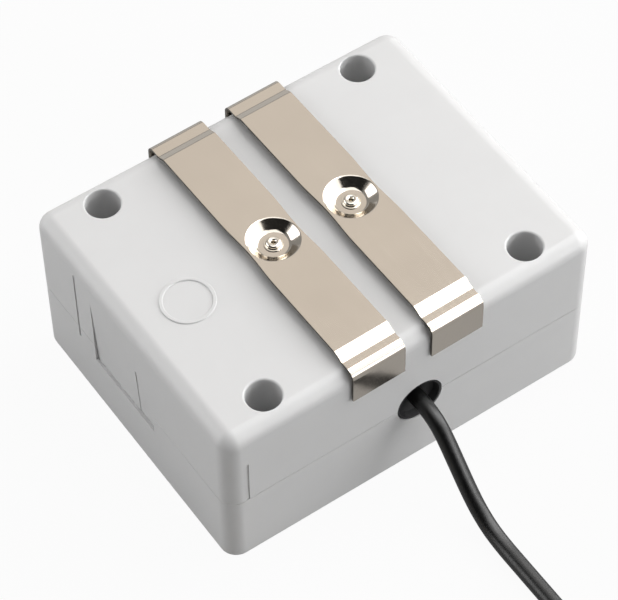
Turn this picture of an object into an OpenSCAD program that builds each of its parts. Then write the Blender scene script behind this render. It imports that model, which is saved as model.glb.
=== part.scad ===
// Water leak sensor and shut-off controller: a moulded two-shell housing with two metal
// contact strips riveted on one face and a thin signal cable out of one side.
// Millimetres. +X runs along the housing, -Y is the side the cable leaves, +Z is the strip
// face, and z = 0 is the flat front face that the housing lies on.

/* [Housing] */
// Length of the housing, along X
body_l = 85; // [84:1:96]
// Width of the housing, along Y
body_w = 67; // [66.5:0.5:76]
// Height of the housing, without the strips that stand on it
body_h = 38.5; // [38.5:0.5:44]
// Wall thickness of both shells
wall = 2.4; // [2.2:0.1:2.7]
// Height of the parting plane above the front face
parting_z = 18; // [17:0.5:19]
// Radius of the four upright corners
corner_r = 4.5; // [4:0.1:6]
// Rounding between the strip face and the sides
edge_r = 3.5; // [3:0.1:3.8]
// Rounding round the front face
front_r = 0.8; // [0.5:0.1:1.5]
// Depth and height of the shadow line where the shells meet
reveal = 0.3; // [0.2:0.05:0.5]
// Thickness of the tongue on the front cover's rim
tongue_t = 1; // [0.8:0.1:1.2]
// Height of that tongue
tongue_h = 1.5; // [1:0.1:2]
// Height of the squeezed seal above the tongue
seal_h = 0.8; // [0.6:0.1:1.2]

/* [Screw wells] */
// Distance from the end wall to a well's axis, along X
well_inset_x = 12.5; // [11:0.5:13]
// Distance from the side wall to a well's axis, along Y
well_inset_y = 6; // [5.5:0.25:6.5]
// Diameter of a well
well_d = 7; // [6.4:0.1:7.4]
// Wall round a well
well_wall = 1.5; // [1.2:0.1:1.8]
// Thickness of the floor that the screw head sits on
well_floor = 4; // [3.5:0.25:6]
// Rounding of a well's mouth
well_lip = 0.4; // [0.2:0.1:0.6]
// Thread diameter of a housing screw
screw_d = 2.9; // [2.6:0.1:3.2]
// Length of a housing screw under its head
screw_l = 16; // [12:0.5:16.5]

/* [Contact strips] */
// Distance of each strip's centre line from the middle, along X
strip_x = 9; // [8:0.5:12]
// Width of a strip
strip_w = 12; // [11.8:0.2:14]
// Sheet thickness of a strip
strip_t = 0.5; // [0.4:0.1:0.6]
// Height of a strip's top above the housing
strip_rise = 2.1; // [1.8:0.1:2.6]
// Height of the lower shoulder at each end above the housing
shoulder_rise = 1.1; // [0.9:0.1:1.4]
// Distance from the side wall to where the strip starts to drop
drop_start = 5.3; // [4.5:0.1:7]
// Distance from the side wall to the start of the shoulder
drop_end = 2.7; // [2.3:0.1:3]
// Gap between a strip's end flange and the side wall
flange_gap = 0.1; // [0.05:0.05:0.4]
// Depth of an end flange below the strip face
flange_drop = 7.1; // [5:0.1:9]
// Outside bend radius of an end flange
flange_bend = 1.6; // [1.2:0.1:1.8]
// Diameter of the dimple at its mouth
dimple_d = 10.6; // [9:0.2:10.8]
// Diameter of the dimple's flat bottom
dimple_floor_d = 5.6; // [5:0.1:6.5]
// Shank diameter of a strip rivet
rivet_d = 2; // [1.8:0.1:2.2]
// Head diameter of a strip rivet
rivet_head_d = 2.8; // [2.6:0.1:3.6]

/* [Cable] */
// Outside diameter of the cable
cable_d = 3.5; // [3:0.1:4]
// Place of the cable along X
cable_x = 1.5; // [-2:0.5:2]
// Diameter of the cable hole, half in each shell
cable_hole_d = 10.4; // [9:0.1:11]

/* [Board] */
// Gap between each end of the circuit board and the housing's inner wall
board_gap_x = 5.1; // [3:0.1:6]
// Gap between each long side of the circuit board and the housing's inner wall
board_gap_y = 9.1; // [8.6:0.1:9.6]
// Thickness of the circuit board
board_t = 1.6; // [1:0.1:2]
// Height of the board posts above the inside of the front cover
post_h = 9.1; // [8.8:0.1:9.4]
// Distance from a board corner to its screw, along X and Y
board_screw_inset = 4; // [3.5:0.1:4.5]
// Thread diameter of a board screw
board_screw_d = 2.4; // [2.2:0.1:2.6]
// Diameter of the battery cell
cell_d = 17; // [16:0.25:17]
// Length of the battery cell
cell_l = 34.5; // [30:0.5:36]

/* [Front face] */
// Diameter of the test button
button_d = 11.6; // [10:0.2:13]
// Place of the button, left of the middle
button_x = 18; // [16:0.5:20]
// Travel of the button
button_travel = 0.6; // [0.4:0.05:0.7]
// Depth of the button's face below the front face
button_sink = 0.5; // [0.3:0.1:0.8]
// Place of the sounder, right of the middle
sounder_x = 18; // [16:0.5:22]
// Diameter of the sounder
sounder_d = 12; // [10:0.5:13]
// Diameter of the status lamp's light pipe
pipe_d = 3; // [2.5:0.1:4]

/* [Hidden] */
$fn = 64;

// Clearances
slip = 0.1;        // between pieces that drop into each other
snug = 0.05;       // radial, round screws, rivets and the clamped cable
button_gap = 0.2;  // radial, round the moving button
face_gap = 0.3;    // between the clamp and the saddle, and round the lamp
over = 1;          // how far a cut runs past what it cuts

// Planes and places worked out from the housing
inner_l = body_l - 2 * wall;
inner_w = body_w - 2 * wall;
inner_r = corner_r - wall;
ceiling_z = body_h - wall;
side_y = body_w / 2;
well_x = body_l / 2 - well_inset_x;
well_y = side_y - well_inset_y;
well_r = well_d / 2;
well_seat_z = parting_z + well_floor;
tongue_top_z = parting_z + tongue_h;
board_l = inner_l - 2 * board_gap_x;
board_w = inner_w - 2 * board_gap_y;
board_z = wall + post_h;
board_top_z = board_z + board_t;
post_x = board_l / 2 - board_screw_inset;
post_y = board_w / 2 - board_screw_inset;

// Screw heads
head_ratio = 1.9;
screw_head_h = 2.2;
small_head_h = 1.6;
drive_d_ratio = 0.9;
drive_slot_ratio = 0.26;
drive_depth = 1.1;
board_screw_l = 7;
clamp_screw_l = 8;
pilot_spare = 1;

// Strip rivets, from the head to the flared tail
rivet_rim_h = 0.3;
rivet_dome_h = 0.35;
rivet_tail_h = 0.8;
rivet_tail_d = [2.6, 3.4];
rivet_bore_d = 0.9;
rivet_bore_depth = 0.4;

// Bosses inside the front cover
cover_post_wall = 0.75;
board_post_r = 3;
boss_floor = 2;
guide_wall = 1.2;
guide_h = 1;
sound_hole_d = 1.5;
sound_ring_r = 3;
button_chamfer = 1;

// Recess and grooves moulded in the sides, measured on the object
recess_y = [-2, 13.2];
recess_z = [13.4, 32];
recess_depth = 1.1;
step_y = -7.7;
step_depth = 0.6;
step_z = [27.4, 24.7];
groove_w = 0.7;
groove_depth = 0.4;
end_groove_y = 18.4;
end_groove_top = 4.2;
side_groove_x = 38.3;
side_groove_top = 29.5;
mark_place = [-29.5, -1.5];
mark_d = 11;
mark_line = 0.8;
mark_rise = 0.25;

// Heights and reach of the strips
strip_top = body_h + strip_rise;
flange_corner = 0.3;
shoulder_top = body_h + shoulder_rise;
flange_out = side_y + flange_gap + strip_t;
bend_mid = [flange_out - flange_bend, shoulder_top - flange_bend];

// Cable saddle and clamp
saddle_inset = 4.6;
saddle_y = -(inner_w / 2 - saddle_inset);
saddle_t = 5;
saddle_half = 9;
clamp_screw_x = 6.3;
clamp_t = 2.4;
jacket_spare = 0.8;

// Blocks on the circuit board, placed from its edges
edge_y = -board_w / 2;
edge_x = -board_l / 2;
terminal_size = [10.2, 8, 9];
terminal_pitch = 5.08;
terminal_gap = 2;
terminal_bore_d = 3.2;
terminal_bore_z = 3.4;
terminal_screw_d = 3.4;
terminal_screw_h = 1.4;
terminal_well = 2.4;
terminal_step = 1.2;
terminal_front_y = edge_y + terminal_gap;
terminal_y = terminal_front_y + terminal_size[1] / 2;
entry_z = board_top_z + terminal_bore_z;
relay_size = [15, 7.6, 10];
relay_foot = 0.3;
relay_pin_d = 1.2;
relay_inset = 15;
relay_place = [-edge_x - relay_inset, edge_y + 6.8];
header_size = [7.6, 6, 7];
header_pitch = 2.6;
header_well = 2.4;
header_top_z = board_top_z + header_size[2];
chip_size = [4, 10, 1.6];
chip_lift = 0.2;
chip_place = [edge_x + 4.2, -5];
chip_legs = 8;
chip_pitch = 1.1;
chip_leg = [1.2, 0.4, 0.8];
cap_d = 8;
cap_h = 11;
cap_place = [edge_x + 11.5, edge_y + 9];
header_gap = 1.7;
header_place = [cap_place[0] + (cap_d + header_size[0]) / 2 + header_gap, edge_y + 8];
cap_groove = [0.3, 0.7, 1.4];
cap_score = 0.4;

// Battery holder, along the board's far side
holder_wall = 1.8;
holder_room = 1.9;
holder_side = 1.5;
holder_inset = 0.5;
holder_share = 0.72;
holder_cut_share = 0.38;
cell_lift = 1.6;
cell_cap = 0.8;
cell_cap_d = 6;
holder_l = cell_l + 2 * (holder_room + holder_wall);
holder_w = cell_d + 2 * holder_side;
cell_y = board_w / 2 - holder_inset - holder_w / 2;
cell_z = board_top_z + cell_lift + cell_d / 2;
contact_plate = [8, 8, 0.5];
contact_cone_r = [3, 2];

// Wires
wire_d = 1.2;
wire_lead = 1.2;
core_d = 1.1;
core_apart = 0.8;
core_rings = 16;
core_lead = 0.1;
left_wire_bow = [3, 2.5, 8];
right_wire_hang = [6, 3, 7];
right_wire_bow = [5.5, 1.5, 7.5];
jacket_end_y = saddle_y + saddle_t / 2 + jacket_spare;

// Solder tags under the strip rivets
tag_t = 0.4;
tag_r = 2.7;
tag_reach = 9;
tag_eye_y = -7.5;
tag_arm_w = 3;
tag_eye_r = 0.45;
tag_wire_z = ceiling_z - tag_t;

// Sounder
sounder_gap = 1.1;
sounder_port = [2.4, 2];

// Test switch and button
switch_w = 6;
switch_h = 3.5;
switch_well = 0.8;
plunger_d = 3.4;
plunger_gap = 0.2;
plunger_inside = 1.2;
button_flange_t = 1.2;
button_flange = 1.2;
stem_d = 4.4;
stem_h = 0.75;
dish_r = 24;
dish_depth = 0.5;
button_stop_z = wall + snug;
plunger_low_z = button_stop_z + button_flange_t + stem_h + snug;

// Status lamp
lamp_d = 3;
lamp_body_h = 2.6;
lamp_rim = 0.4;
lamp_rim_h = 1;
lamp_leg_d = 0.6;
lamp_leg_x = 0.6;
pipe_flange = 0.9;
pipe_flange_h = 1;
pipe_top_z = 5.6;
lamp_low_z = pipe_top_z + face_gap;
lamp_mid_z = lamp_low_z + lamp_d / 2;

// The free cable: a run over the floor, a two-layer coil, and a plug beside the coil
cable_r = cable_d / 2;
grommet_sink = 1.8;
grommet_flange = 1.3;
grommet_flange_t = 1.4;
grommet_cone_r = 4.2;
grommet_cone_h = 1.2;
floor_run_z = 1.8;
coil_gap = 0.45;
coil_pitch = 3.95;
coil_turns = 4;
coil_mean_r = 21;
coil_y = -100;
coil_sides = 6;
coil_rings = 24;
coil_out_r = coil_mean_r + coil_turns * coil_pitch / 2;
coil_x = 1.5 - coil_out_r;
coil_total = 2 * coil_turns + 0.5;
coil_end = 7;
coil_top_z = floor_run_z + coil_pitch;
run_sides = 8;
run_steps = 3;
run_points = [[1.5, -31.7, 18], [1.5, -34.5, 18], [1.5, -37.3, 17.6], [1.5, -39.9, 16.5],
  [1.5, -42.3, 14.6], [1.5, -45.8, 11.1], [1.5, -49.8, 7.1], [1.5, -53.2, 4.4],
  [1.5, -57, 2.6], [1.5, -61.2, 1.9], [1.5, -66, 1.8], [1.5, -74, 1.8], [1.5, -83, 1.8],
  [1.5, -93, 1.8]];

// Plug along its own axis, from the cable end
relief_l = 12;
handle_l = 20;
collar_l = 1.2;
sleeve_l = 8;
insulator_l = 0.7;
tip_l = 5.3;
tip_straight = 1.3;
tip_waist = 0.72;
tip_nose = 0.35;
jack_d = 3.5;
handle_r = 5.4;
handle_taper = 1;
handle_taper_l = 1.5;
collar_r = 3.9;
relief_r = [2.2, 3.2];
rib_count = 5;
rib_r = 2.65;
rib_growth = 0.22;

// Rounded shapes

module plan(l, w, r) {
  square([l - 2 * r, w], center = true);
  square([l, w - 2 * r], center = true);
  for (sx = [-1, 1], sy = [-1, 1])
    translate([sx * (l / 2 - r), sy * (w / 2 - r)]) circle(r);
}

// A block on z = 0 with upright corners of radius rc and a top edge rounded by re
module domed_block(l, w, h, rc, re) {
  linear_extrude(h - re) plan(l, w, rc);
  translate([0, 0, h - re]) {
    linear_extrude(re) plan(l - 2 * re, w - 2 * re, rc - re);
    for (s = [-1, 1]) {
      translate([s * (l / 2 - re), 0, 0]) rotate([90, 0, 0])
        cylinder(r = re, h = w - 2 * rc, center = true);
      translate([0, s * (w / 2 - re), 0]) rotate([0, 90, 0])
        cylinder(r = re, h = l - 2 * rc, center = true);
    }
    for (sx = [-1, 1], sy = [-1, 1])
      translate([sx * (l / 2 - rc), sy * (w / 2 - rc), 0])
        rotate_extrude() intersection() {
          union() {
            square([rc - re, re]);
            translate([rc - re, 0]) circle(re);
          }
          square([rc, re]);
        }
  }
}

module ring_wall(r_in, r_out, h) {
  difference() {
    cylinder(r = r_out, h = h);
    translate([0, 0, -over]) cylinder(r = r_in, h = h + 2 * over);
  }
}

// A closed ring that follows the walls, from the inner face outwards by t and inwards by room
module rim(t, h, room = 0) {
  linear_extrude(h) difference() {
    plan(inner_l + 2 * t, inner_w + 2 * t, inner_r + t);
    plan(inner_l - 2 * room, inner_w - 2 * room, inner_r - room);
  }
}

module at_wells() {
  for (sx = [-1, 1], sy = [-1, 1]) translate([sx * well_x, sy * well_y, 0]) children();
}

module at_posts() {
  for (sx = [-1, 1], sy = [-1, 1]) translate([sx * post_x, sy * post_y, 0]) children();
}

module at_clamp_screws() {
  for (s = [-1, 1]) translate([cable_x + s * clamp_screw_x, saddle_y, 0]) children();
}

// Points the Z axis of what it holds out of the cable side, from the cable's axis
module out_of_side(y) {
  translate([cable_x, y, parting_z]) rotate([90, 0, 0]) children();
}

module pan_screw(d, l, head_h) {
  head_r = d * head_ratio / 2;
  difference() {
    union() {
      translate([0, 0, -l]) cylinder(d = d, h = l);
      cylinder(r = head_r, h = head_h * 0.55);
      translate([0, 0, head_h * 0.55])
        cylinder(r1 = head_r, r2 = head_r * 0.72, h = head_h * 0.45);
    }
    for (a = [0, 90]) rotate([0, 0, a]) translate([0, 0, head_h])
      cube([d * drive_d_ratio, d * drive_slot_ratio, 2 * drive_depth], center = true);
  }
}

// Tubes. A tube is one polyhedron: rings of points round a curve, joined by triangles

function tube_faces(rings, sides) = concat(
  [for (i = [0 : rings - 2], k = [0 : sides - 1]) each let (
    a = i * sides + k, b = i * sides + (k + 1) % sides, c = a + sides, d = b + sides)
    [[a, b, d], [a, d, c]]],
  [for (k = [1 : sides - 2]) [0, k + 1, k]],
  [for (k = [1 : sides - 2]) let (z = (rings - 1) * sides) [z, z + k, z + k + 1]]);

function unit(v) = v / norm(v);

function slope(path, i) = unit(path[min(i + 1, len(path) - 1)] - path[max(i - 1, 0)]);

// Point u, from 0 to 1, of the curve between points i and i + 1. The slopes reach as far as
// these two points lie apart, so a short stretch beside a long one doesn't loop
function stretch(points, i, u) = let (
    a = points[i], b = points[i + 1], reach = norm(b - a), w = u * u * (3 - 2 * u))
  a * (1 - w) + b * w + reach * u * (1 - u)
    * (slope(points, i) * (1 - u) - slope(points, i + 1) * u);

function along(points, steps) = concat(
  [for (i = [0 : len(points) - 2], k = [0 : steps - 1]) stretch(points, i, k / steps)],
  [points[len(points) - 1]]);

// A tube along a path. No stretch of the path runs along the vector beside
module tube(path, r, sides, beside) {
  polyhedron(
    points = [for (i = [0 : len(path) - 1]) let (
      s = slope(path, i), u = unit(cross(beside, s)), v = cross(s, u))
      for (k = [0 : sides - 1]) let (a = 360 * (k + 0.5) / sides)
        path[i] + r * (cos(a) * v + sin(a) * u)],
    faces = tube_faces(len(path), sides));
}

wire_sides = 10;
wire_steps = 3;

module wire(points, d, beside) {
  tube(along(points, wire_steps), d / 2, wire_sides, beside);
}

// What the mould leaves in the sides, cut from both shells

module side_recess() {
  face = -body_l / 2;
  translate([face, recess_y[1], 0]) rotate([90, 0, 0])
    linear_extrude(recess_y[1] - recess_y[0])
      polygon([[-over, recess_z[0]], [recess_depth, recess_z[0]], [0, recess_z[1]],
        [-over, recess_z[1]]]);
  translate([face + step_depth, 0, 0]) rotate([0, -90, 0])
    linear_extrude(step_depth + over)
      polygon([[recess_z[0], recess_y[0] + snug], [recess_z[0], step_y],
        [step_z[1], step_y], [step_z[0], recess_y[0] + snug]]);
}

module side_grooves() {
  translate([-body_l / 2 - over, end_groove_y, parting_z])
    cube([over + groove_depth, groove_w, body_h - end_groove_top - parting_z]);
  translate([-side_groove_x, -side_y - over, parting_z])
    cube([groove_w, over + groove_depth, side_groove_top - parting_z]);
}

module cable_hole() {
  out_of_side(-inner_w / 2 + over) cylinder(d = cable_hole_d, h = wall + 2 * over);
}

// Housing

module base_shell() {
  color("gainsboro") difference() {
    union() {
      difference() {
        translate([0, 0, parting_z])
          domed_block(body_l, body_w, body_h - parting_z, corner_r, edge_r);
        translate([0, 0, parting_z - over])
          domed_block(inner_l, inner_w, ceiling_z - parting_z + over, inner_r,
            edge_r - wall);
      }
      at_wells() translate([0, 0, parting_z])
        cylinder(r = well_r + well_wall, h = ceiling_z - parting_z + wall / 2);
      translate([mark_place[0], mark_place[1], body_h - over])
        ring_wall(mark_d / 2 - mark_line, mark_d / 2, over + mark_rise);
    }
    // Rebate for the other shell's tongue and the seal, then the shadow line outside
    translate([0, 0, parting_z - over]) rim(tongue_t + slip, over + tongue_h + seal_h, slip);
    translate([0, 0, parting_z - over]) linear_extrude(over + reveal) difference() {
      plan(body_l + 2 * over, body_w + 2 * over, corner_r);
      plan(body_l - 2 * reveal, body_w - 2 * reveal, corner_r - reveal);
    }
    at_wells() {
      translate([0, 0, well_seat_z]) cylinder(r = well_r, h = body_h);
      cylinder(r = screw_d / 2 + 2 * slip, h = body_h);
      translate([0, 0, body_h - well_lip]) rotate_extrude() difference() {
        translate([well_r - over, 0]) square([over + well_lip, 2 * well_lip]);
        translate([well_r + well_lip, 0]) circle(well_lip);
      }
    }
    for (s = [-1, 1]) translate([s * strip_x, 0, ceiling_z - over])
      cylinder(r = rivet_d / 2 + snug, h = wall + 2 * over);
    cable_hole();
    side_recess();
    side_grooves();
  }
}

module front_cover() {
  guide_r = button_d / 2 + button_flange + 2 * button_gap;
  color("gainsboro") difference() {
    union() {
      difference() {
        translate([0, 0, parting_z]) mirror([0, 0, 1])
          domed_block(body_l, body_w, parting_z, corner_r, front_r);
        translate([0, 0, wall]) linear_extrude(parting_z) plan(inner_l, inner_w, inner_r);
      }
      translate([0, 0, parting_z - over]) rim(tongue_t, over + tongue_h);
      at_wells() translate([0, 0, wall / 2])
        cylinder(r = well_r + cover_post_wall, h = parting_z - wall / 2);
      at_posts() translate([0, 0, wall / 2])
        cylinder(r = board_post_r, h = board_z - wall / 2);
      translate([cable_x - saddle_half, saddle_y - saddle_t / 2, wall / 2])
        cube([2 * saddle_half, saddle_t, parting_z - wall / 2]);
      translate([-button_x, 0, wall / 2])
        ring_wall(guide_r, guide_r + guide_wall, wall / 2 + button_flange_t + guide_h);
      translate([sounder_x, 0, wall / 2])
        ring_wall(sounder_d / 2 + 2 * slip, sounder_d / 2 + guide_wall,
          wall / 2 + sounder_gap + guide_h);
    }
    at_wells() translate([0, 0, well_seat_z - screw_l - pilot_spare])
      cylinder(r = screw_d / 2 + snug, h = parting_z);
    at_posts() translate([0, 0, wall + boss_floor])
      cylinder(r = board_screw_d / 2 + snug, h = post_h);
    at_clamp_screws() translate([0, 0, wall + boss_floor])
      cylinder(r = board_screw_d / 2 + snug, h = parting_z);
    out_of_side(saddle_y + saddle_t) cylinder(r = cable_r + snug, h = 2 * saddle_t);
    translate([-button_x, 0, -over])
      cylinder(r = button_d / 2 + button_gap, h = wall + 2 * over);
    translate([-button_x, 0, 0])
      cylinder(r1 = button_d / 2 + button_gap + button_chamfer,
        r2 = button_d / 2 + button_gap, h = button_chamfer);
    translate([0, 0, -over]) cylinder(r = pipe_d / 2 + snug, h = wall + 2 * over);
    translate([sounder_x, 0, -over]) {
      cylinder(d = sound_hole_d, h = wall + 2 * over);
      for (a = [0 : 60 : 300]) rotate([0, 0, a]) translate([sound_ring_r, 0, 0])
        cylinder(d = sound_hole_d, h = wall + 2 * over);
    }
    cable_hole();
    side_recess();
  }
}

module housing_seal() {
  color("dimgray") difference() {
    translate([0, 0, tongue_top_z]) rim(tongue_t, seal_h);
    cable_hole();
  }
}

module housing_screws() {
  color("silver") at_wells() translate([0, 0, well_seat_z])
    pan_screw(screw_d, screw_l, screw_head_h);
}

// Contact strips. The half profile is (distance from the middle, height)

function bend(r) = [for (a = [90 : -15 : 0]) bend_mid + r * [cos(a), sin(a)]];

half_profile = concat(
  [[0, strip_top], [side_y - drop_start, strip_top], [side_y - drop_end, shoulder_top]],
  bend(flange_bend),
  [[flange_out, body_h - flange_drop], [flange_out - strip_t, body_h - flange_drop]],
  [for (p = [6 : -1 : 0]) bend(flange_bend - strip_t)[p]],
  [[side_y - drop_end - strip_t / 5, shoulder_top - strip_t],
   [side_y - drop_start - strip_t / 5, strip_top - strip_t], [0, strip_top - strip_t]]);

module contact_strip() {
  dimple_r = dimple_d / 2;
  floor_r = dimple_floor_d / 2;
  rim_r = dimple_r + strip_t * 0.6;
  difference() {
    for (s = [0, 1]) mirror([0, s, 0]) translate([-strip_w / 2, 0, 0])
      rotate([90, 0, 90]) linear_extrude(strip_w) polygon(half_profile);
    translate([0, 0, body_h]) cylinder(r = rim_r, h = strip_rise + over);
    // Rounded lower corners of the end flanges
    for (sx = [-1, 1], sy = [-1, 1])
      translate([sx * (strip_w / 2 - flange_corner), sy * flange_out,
        body_h - flange_drop + flange_corner])
        rotate([90, 0, 0]) difference() {
          translate([sx > 0 ? 0 : -over, -over, -over]) cube([over, over, 2 * over]);
          cylinder(r = flange_corner, h = 4 * over, center = true);
        }
  }
  rotate_extrude() polygon([[rivet_d / 2 + snug, body_h], [rim_r - dimple_r + floor_r, body_h],
    [rim_r, strip_top - strip_t], [rim_r, strip_top], [dimple_r, strip_top],
    [floor_r, body_h + strip_t], [rivet_d / 2 + snug, body_h + strip_t]]);
}

module left_contact_strip() {
  color("tan") translate([-strip_x, 0, 0]) contact_strip();
}

module right_contact_strip() {
  color("tan") translate([strip_x, 0, 0]) contact_strip();
}

module strip_rivets() {
  head_z = body_h + strip_t;
  tail_z = ceiling_z - tag_t;
  color("lightgray") for (s = [-1, 1]) translate([s * strip_x, 0, 0]) difference() {
    union() {
      translate([0, 0, tail_z]) cylinder(d = rivet_d, h = head_z - tail_z);
      translate([0, 0, head_z]) cylinder(d = rivet_head_d, h = rivet_rim_h);
      translate([0, 0, head_z + rivet_rim_h])
        cylinder(d1 = rivet_head_d, d2 = rivet_head_d * 0.62, h = rivet_dome_h);
      translate([0, 0, tail_z - rivet_tail_h])
        cylinder(d1 = rivet_tail_d[0], d2 = rivet_tail_d[1], h = rivet_tail_h);
    }
    translate([0, 0, head_z - rivet_bore_depth]) cylinder(d = rivet_bore_d, h = over);
  }
}

module contact_tags() {
  arm = tag_reach - tag_arm_w / 2;
  color("goldenrod") for (s = [-1, 1]) translate([s * strip_x, 0, ceiling_z - tag_t])
    linear_extrude(tag_t) difference() {
      union() {
        circle(tag_r);
        translate([-tag_arm_w / 2, -arm]) square([tag_arm_w, arm]);
        translate([0, -arm]) circle(tag_arm_w / 2);
      }
      circle(rivet_d / 2 + snug);
      translate([0, tag_eye_y]) circle(tag_eye_r);
    }
}

module left_contact_wire() {
  entry = [header_place[0] - header_pitch / 2, header_place[1]];
  color("steelblue") wire([[-strip_x, tag_eye_y, tag_wire_z],
    [-strip_x, tag_eye_y, tag_wire_z - wire_lead],
    [-strip_x, tag_eye_y, tag_wire_z - 2 * wire_lead],
    [entry[0], entry[1], header_top_z] + left_wire_bow,
    [entry[0], entry[1], header_top_z + 3 * wire_lead],
    [entry[0], entry[1], header_top_z + wire_lead],
    [entry[0], entry[1], header_top_z - wire_lead]], wire_d, [0, 1, 0]);
}

module right_contact_wire() {
  entry = [header_place[0] + header_pitch / 2, header_place[1]];
  color("steelblue") wire([[strip_x, tag_eye_y, tag_wire_z],
    [strip_x, tag_eye_y, tag_wire_z - wire_lead],
    [strip_x, tag_eye_y, tag_wire_z - 2 * wire_lead],
    [strip_x, tag_eye_y, ceiling_z] - right_wire_hang,
    [entry[0], entry[1], header_top_z] + right_wire_bow,
    [entry[0], entry[1], header_top_z + 3 * wire_lead],
    [entry[0], entry[1], header_top_z + wire_lead],
    [entry[0], entry[1], header_top_z - wire_lead]], wire_d, [0, 1, 0]);
}

// Cable entry

module cable_grommet() {
  seat = wall - grommet_sink + snug;
  color("#202020") out_of_side(-side_y + grommet_sink) mirror([0, 0, 1]) difference() {
    union() {
      cylinder(d = cable_hole_d - 2 * slip, h = seat + grommet_flange_t);
      translate([0, 0, seat])
        cylinder(d = cable_hole_d + 2 * grommet_flange, h = grommet_flange_t);
    }
    translate([0, 0, -over])
      cylinder(r = cable_r + snug, h = seat + grommet_flange_t + 2 * over);
    translate([0, 0, -snug])
      cylinder(r1 = grommet_cone_r, r2 = cable_r + snug, h = grommet_cone_h);
  }
}

module cable_clamp() {
  color("#303030") difference() {
    translate([cable_x - saddle_half, saddle_y - saddle_t / 2, parting_z + face_gap])
      cube([2 * saddle_half, saddle_t, clamp_t]);
    out_of_side(saddle_y + saddle_t) cylinder(r = cable_r + snug, h = 2 * saddle_t);
    at_clamp_screws() cylinder(r = board_screw_d / 2 + slip, h = body_h);
  }
}

module clamp_screws() {
  color("silver") at_clamp_screws() translate([0, 0, parting_z + face_gap + clamp_t])
    pan_screw(board_screw_d, clamp_screw_l, small_head_h);
}

module cable_inner_end() {
  color("#181818") out_of_side(jacket_end_y)
    cylinder(d = cable_d, h = jacket_end_y + side_y - grommet_sink);
}

// A core goes from the end of the jacket into its terminal in one even S, straight at its ends
module core(s) {
  x_start = cable_x + s * core_apart;
  x_end = cable_x + s * terminal_pitch / 2;
  reach = 1.5 * (terminal_front_y - jacket_end_y);
  path = [for (i = [0 : core_rings]) let (
      t = i / core_rings, u = min(max((t - core_lead) / (1 - 2 * core_lead), 0), 1),
      shift = (1 - cos(180 * u)) / 2)
    [x_start + (x_end - x_start) * shift, jacket_end_y + reach * t,
      parting_z + (entry_z - parting_z) * shift]];
  tube(path, core_d / 2, wire_sides, [1, 0, 0]);
}

module red_core() {
  color("firebrick") core(1);
}

module black_core() {
  color("#202020") core(-1);
}

// Circuit board and what stands on it

module circuit_board() {
  color("seagreen") translate([0, 0, board_z]) linear_extrude(board_t) difference() {
    plan(board_l, board_w, 2);
    for (sx = [-1, 1], sy = [-1, 1]) translate([sx * post_x, sy * post_y])
      circle(board_screw_d / 2 + slip);
  }
}

module board_screws() {
  color("silver") at_posts() translate([0, 0, board_top_z])
    pan_screw(board_screw_d, board_screw_l, small_head_h);
}

module terminal_places() {
  for (s = [-1, 1])
    translate([cable_x + s * terminal_pitch / 2, terminal_y, 0]) children();
}

module cable_terminal_block() {
  size = terminal_size;
  top_z = board_top_z + size[2];
  color("green") difference() {
    translate([cable_x - size[0] / 2, terminal_front_y, board_top_z]) cube(size);
    terminal_places() {
      translate([0, 0, entry_z]) rotate([90, 0, 0])
        cylinder(d = terminal_bore_d, h = size[1]);
      translate([0, 0, top_z - terminal_well])
        cylinder(d = terminal_screw_d + 4 * slip, h = terminal_well + over);
    }
    translate([cable_x - size[0] / 2 - over, terminal_front_y + size[1] - terminal_step,
      top_z - terminal_step])
      cube([size[0] + 2 * over, terminal_step + over, terminal_step + over]);
  }
}

module terminal_screws() {
  color("silver") terminal_places()
    translate([0, 0, board_top_z + terminal_size[2] - terminal_well]) difference() {
      cylinder(d = terminal_screw_d, h = terminal_screw_h);
      translate([0, 0, terminal_screw_h])
        cube([terminal_screw_d + over, terminal_screw_d / 6, terminal_screw_h], center = true);
    }
}

module signal_relay() {
  inset = relay_pin_d;
  color("white") translate([relay_place[0], relay_place[1], board_top_z]) {
    translate([-relay_size[0] / 2, -relay_size[1] / 2, relay_foot])
      cube([relay_size[0], relay_size[1], relay_size[2] - relay_foot]);
    for (sx = [-1, 1], sy = [-1, 1])
      translate([sx * (relay_size[0] / 2 - inset), sy * (relay_size[1] / 2 - inset), 0])
        cylinder(d = relay_pin_d, h = 2 * relay_foot);
  }
}

module controller_chip() {
  color("#2a2a2a") translate([chip_place[0], chip_place[1], board_top_z]) {
    translate([-chip_size[0] / 2, -chip_size[1] / 2, chip_lift]) cube(chip_size);
    for (i = [0 : chip_legs - 1], s = [-1, 1])
      translate([s * chip_size[0] / 2 - chip_leg[0] / 2,
        (i - (chip_legs - 1) / 2) * chip_pitch - chip_leg[1] / 2, 0]) cube(chip_leg);
  }
}

module supply_capacitor() {
  color("#26304a") translate([cap_place[0], cap_place[1], board_top_z]) difference() {
    cylinder(d = cap_d, h = cap_h);
    translate([0, 0, cap_groove[2]]) ring_wall(cap_d / 2 - cap_groove[0], cap_d, cap_groove[1]);
    for (a = [0, 90]) rotate([0, 0, a]) translate([0, 0, cap_h])
      cube([cap_d * 0.7, cap_score, cap_score], center = true);
  }
}

module probe_header() {
  color("ivory") difference() {
    translate([header_place[0] - header_size[0] / 2, header_place[1] - header_size[1] / 2,
      board_top_z]) cube(header_size);
    for (s = [-1, 1]) translate([header_place[0] + s * header_pitch / 2, header_place[1],
      header_top_z - header_well]) cylinder(d = wire_d + 2 * slip, h = header_well + over);
  }
}

module sounder() {
  low = wall + sounder_gap;
  color("#1c1c1c") translate([sounder_x, 0, low]) difference() {
    cylinder(d = sounder_d, h = board_z - low);
    translate([0, 0, -over]) cylinder(d = sounder_port[0], h = sounder_port[1] + over);
  }
}

module along_cell() {
  translate([0, cell_y, cell_z]) rotate([0, 90, 0]) children();
}

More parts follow.
